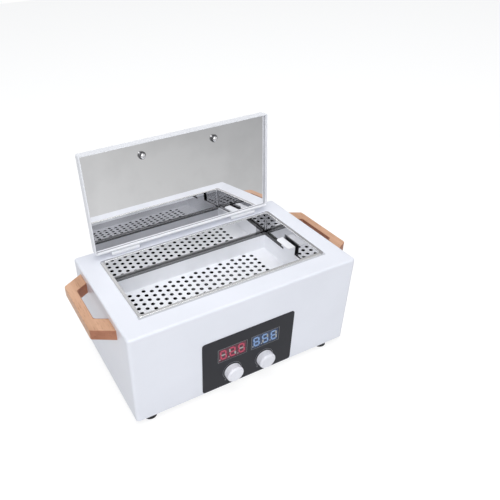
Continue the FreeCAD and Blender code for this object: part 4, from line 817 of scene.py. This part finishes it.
# %% [markdown]
# ### The dial numbers
# The numbers are text turned into a mesh, one at each end of the scale. Text lies in its own X and Y
# plane, so it is turned to stand on the panel, and the turn goes into the mesh, so that the object
# itself stays unturned. A figure is seven tenths as high as the size of its text.

# %% Dial numbers
NUMBER_HEIGHT = 2.6 * MM
NUMBER_GAP = 2.6 * MM
FIGURE_SHARE = 0.7
SCALES = {"left": ("0", "60"), "right": ("0", "200")}
SCALE_ENDS = (math.radians(232), math.radians(-52))
JOIN_DISTANCE = 0.001 * MM


def number_mesh(words, x, z):
    """A short text as a mesh in the panel's plane, centred on x and z."""
    curve = bpy.data.curves.new("number", "FONT")
    curve.body = words
    curve.size = NUMBER_HEIGHT / FIGURE_SHARE
    curve.align_x = "CENTER"
    curve.align_y = "CENTER"
    curve.extrude = PRINT_THICKNESS / 2
    curve.resolution_u = 4
    holder = new_object("number", curve)
    bpy.context.view_layer.update()
    ready = holder.evaluated_get(bpy.context.evaluated_depsgraph_get())
    mesh = bpy.data.meshes.new_from_object(ready)
    bpy.data.objects.remove(holder)
    upright = Matrix.Rotation(math.radians(90), 4, "X")
    mesh.transform(Matrix.Translation((x, PRINT_Y + PRINT_LIFT / 2, z)) @ upright)
    return mesh


for side_name, numbers in SCALES.items():
    centre, knob_radius = knob_circle(side_name)
    form = bmesh.new()
    for words, angle in zip(numbers, SCALE_ENDS):
        x, z = on_circle(centre, knob_radius + RING_GAP + NUMBER_GAP, angle)
        form.from_mesh(number_mesh(words, x, z))
    bmesh.ops.remove_doubles(form, verts=form.verts, dist=JOIN_DISTANCE)
    bmesh.ops.recalc_face_normals(form, faces=form.faces)
    printed(side_name + "_dial_numbers", form)

# %% [markdown]
# ## The floor
# The machine stands on a plain white floor that runs on into a white distance. More light would make
# it white and burn out the enamel. Instead the floor glows a little to the camera, and still keeps
# the machine's shadow. To the steel it is greyer, and greyest far out on the right, which gives the
# liner its grey.

# %% Floor
FLOOR_SIZE = 6.0
FLOOR_DROP = 0.1 * MM
FLOOR_WHITE = (0.86, 0.86, 0.86)
SEEN_GLOW = (1.25, 1.25, 1.25, 1.0)
SEEN_SHARE = 0.6
MIRRORED_GREYS = [(0.0, (0.64, 0.64, 0.645)), (0.3, (0.53, 0.53, 0.53)), (1.0, (0.345, 0.345, 0.35))]
MIRRORED_END = 0.85
MIRRORED_SHARE = 0.8


def flat_floor(size, drop):
    form = bmesh.new()
    bmesh.ops.create_grid(form, x_segments=1, y_segments=1, size=size / 2)
    sheet = new_object("floor", mesh_of("floor", form))
    sheet.location.z = -drop
    return sheet


def floor_white():
    """Matt white with a share of glow, which is one for the camera and another for reflections."""
    finish = new_finish("floor white", FLOOR_WHITE, 0.9, specular=0.1)
    ray = add_node(finish, "ShaderNodeLightPath").outputs
    tint = add_node(finish, "ShaderNodeMix", data_type="RGBA")
    link(finish, ray["Is Glossy Ray"], tint.inputs["Factor"])
    tint.inputs["A"].default_value = SEEN_GLOW
    greys = faded(finish, axes_of(finish)["X"], 0.0, MIRRORED_END, MIRRORED_GREYS)
    link(finish, greys, tint.inputs["B"])
    glow = add_node(finish, "ShaderNodeEmission")
    link(finish, tint.outputs["Result"], glow.inputs["Color"])
    seen = sums(finish, "MULTIPLY", ray["Is Camera Ray"], SEEN_SHARE)
    mirrored = sums(finish, "MULTIPLY", ray["Is Glossy Ray"], MIRRORED_SHARE)
    blend = add_node(finish, "ShaderNodeMixShader")
    link(finish, sums(finish, "ADD", seen, mirrored), blend.inputs["Fac"])
    link(finish, shader_of(finish).outputs["BSDF"], blend.inputs[1])
    link(finish, glow.outputs["Emission"], blend.inputs[2])
    surface = finish.node_tree.nodes["Material Output"].inputs["Surface"]
    link(finish, blend.outputs["Shader"], surface)
    return finish


floor = flat_floor(FLOOR_SIZE, FLOOR_DROP)
floor.data.materials.append(floor_white())
print("floor", FLOOR_SIZE, "m")

# %% [markdown]
# ## The studio
# The light of the world is soft and comes from all round, a little bluish as from a window. The
# camera sees plain white. Polished steel has to show something, so to reflections the world is a
# studio that is pale in front and greyer behind. Light Path tells these three kinds of ray apart.

# %% World
SKY = (0.92, 0.955, 1.0, 1.0)
SKY_STRENGTH = 0.46
WHITE = (1.0, 1.0, 1.0, 1.0)
WALL_GREYS = [(0.0, (0.94, 0.94, 0.95)), (1.0, (0.56, 0.56, 0.57))]
FRONT_END, REAR_END = -0.9, 0.35

world = bpy.data.worlds.new("studio")
bpy.context.scene.world = world
world.use_nodes = True


def studio_greys():
    """The greys of the studio from front to rear."""
    axes = add_node(world, "ShaderNodeSeparateXYZ")
    directions = add_node(world, "ShaderNodeTexCoord")
    link(world, directions.outputs["Generated"], axes.inputs[0])
    return faded(world, axes.outputs["Y"], FRONT_END, REAR_END, WALL_GREYS)


def chosen(factor, without, with_it):
    """One shader where the factor is zero, and the other where it is one."""
    mix = add_node(world, "ShaderNodeMixShader")
    link(world, factor, mix.inputs["Fac"])
    link(world, without.outputs[0], mix.inputs[1])
    link(world, with_it.outputs[0], mix.inputs[2])
    return mix


sky = world.node_tree.nodes["Background"]
sky.inputs["Color"].default_value = SKY
sky.inputs["Strength"].default_value = SKY_STRENGTH
studio = add_node(world, "ShaderNodeBackground")
link(world, studio_greys(), studio.inputs["Color"])
backdrop = add_node(world, "ShaderNodeBackground")
backdrop.inputs["Color"].default_value = WHITE
ray = add_node(world, "ShaderNodeLightPath").outputs
unseen = chosen(ray["Is Glossy Ray"], sky, studio)
whole = chosen(ray["Is Camera Ray"], unseen, backdrop)
link(world, whole.outputs[0], world.node_tree.nodes["World Output"].inputs["Surface"])
print("world", world.name)

# %% [markdown]
# ## The lamps
# One large lamp stands at the front left and gives the case its soft modelling. A second one hangs
# overhead and lights the top, the tray and the edges of the lid. A small lamp or a sun would draw
# hard shadows, which a studio avoids.

# %% Lamps
LAMP_AIM = Vector((0, 0, 0.1))


def soft_lamp(name, spot, size, power):
    """A lamp with a width and a height in metres and a power in watts."""
    lamp = bpy.data.lights.new(name, "AREA")
    lamp.shape = "RECTANGLE"
    lamp.size, lamp.size_y = size
    lamp.energy = power
    holder = new_object(name, lamp)
    holder.location = spot
    holder.rotation_euler = (LAMP_AIM - Vector(spot)).to_track_quat("-Z", "Y").to_euler()


soft_lamp("key", (-1.0, -1.6, 1.57), size=(1.4, 1.0), power=20.4)
soft_lamp("top", (0.1, -0.1, 2.2), size=(1.8, 1.4), power=19.5)
print("lamps", len(bpy.data.lights))

# %% [markdown]
# ## Camera
# The camera looks down at the front left corner from about two thirds of a metre away, and it is
# held a little askew. A lens of 38 mm on a 36 mm sensor gives the depth of the real view, and a
# shift frames it.

# %% Camera
CAMERA_SPOT = Vector((-0.2703, -0.48093, 0.50452))
CAMERA_AZIMUTH = math.radians(-25.323)
CAMERA_ELEVATION = math.radians(36.225)
CAMERA_ROLL = math.radians(-2.74)
CAMERA_SENSOR, CAMERA_LENS = 36.0, 38.4
CAMERA_SHIFT = (0.1427, 0.0536)
NEAREST_SEEN = 10 * MM


def place_camera(spot, azimuth, elevation, roll):
    camera = new_object("camera", bpy.data.cameras.new("camera"))
    flat = math.cos(elevation)
    back = Vector((math.sin(azimuth) * flat, -math.cos(azimuth) * flat, math.sin(elevation)))
    camera.location = spot
    turn = (-back).to_track_quat("-Z", "Y") @ Quaternion((0, 0, 1), roll)
    camera.rotation_euler = turn.to_euler()
    camera.data.sensor_width = CAMERA_SENSOR
    camera.data.lens = CAMERA_LENS
    camera.data.shift_x, camera.data.shift_y = CAMERA_SHIFT
    camera.data.clip_start = NEAREST_SEEN
    return camera


bpy.context.scene.camera = place_camera(CAMERA_SPOT, CAMERA_AZIMUTH, CAMERA_ELEVATION, CAMERA_ROLL)
bpy.context.scene.view_settings.view_transform = "Standard"
print("camera at", [round(v, 4) for v in CAMERA_SPOT])

# %% End
print("scene ready")
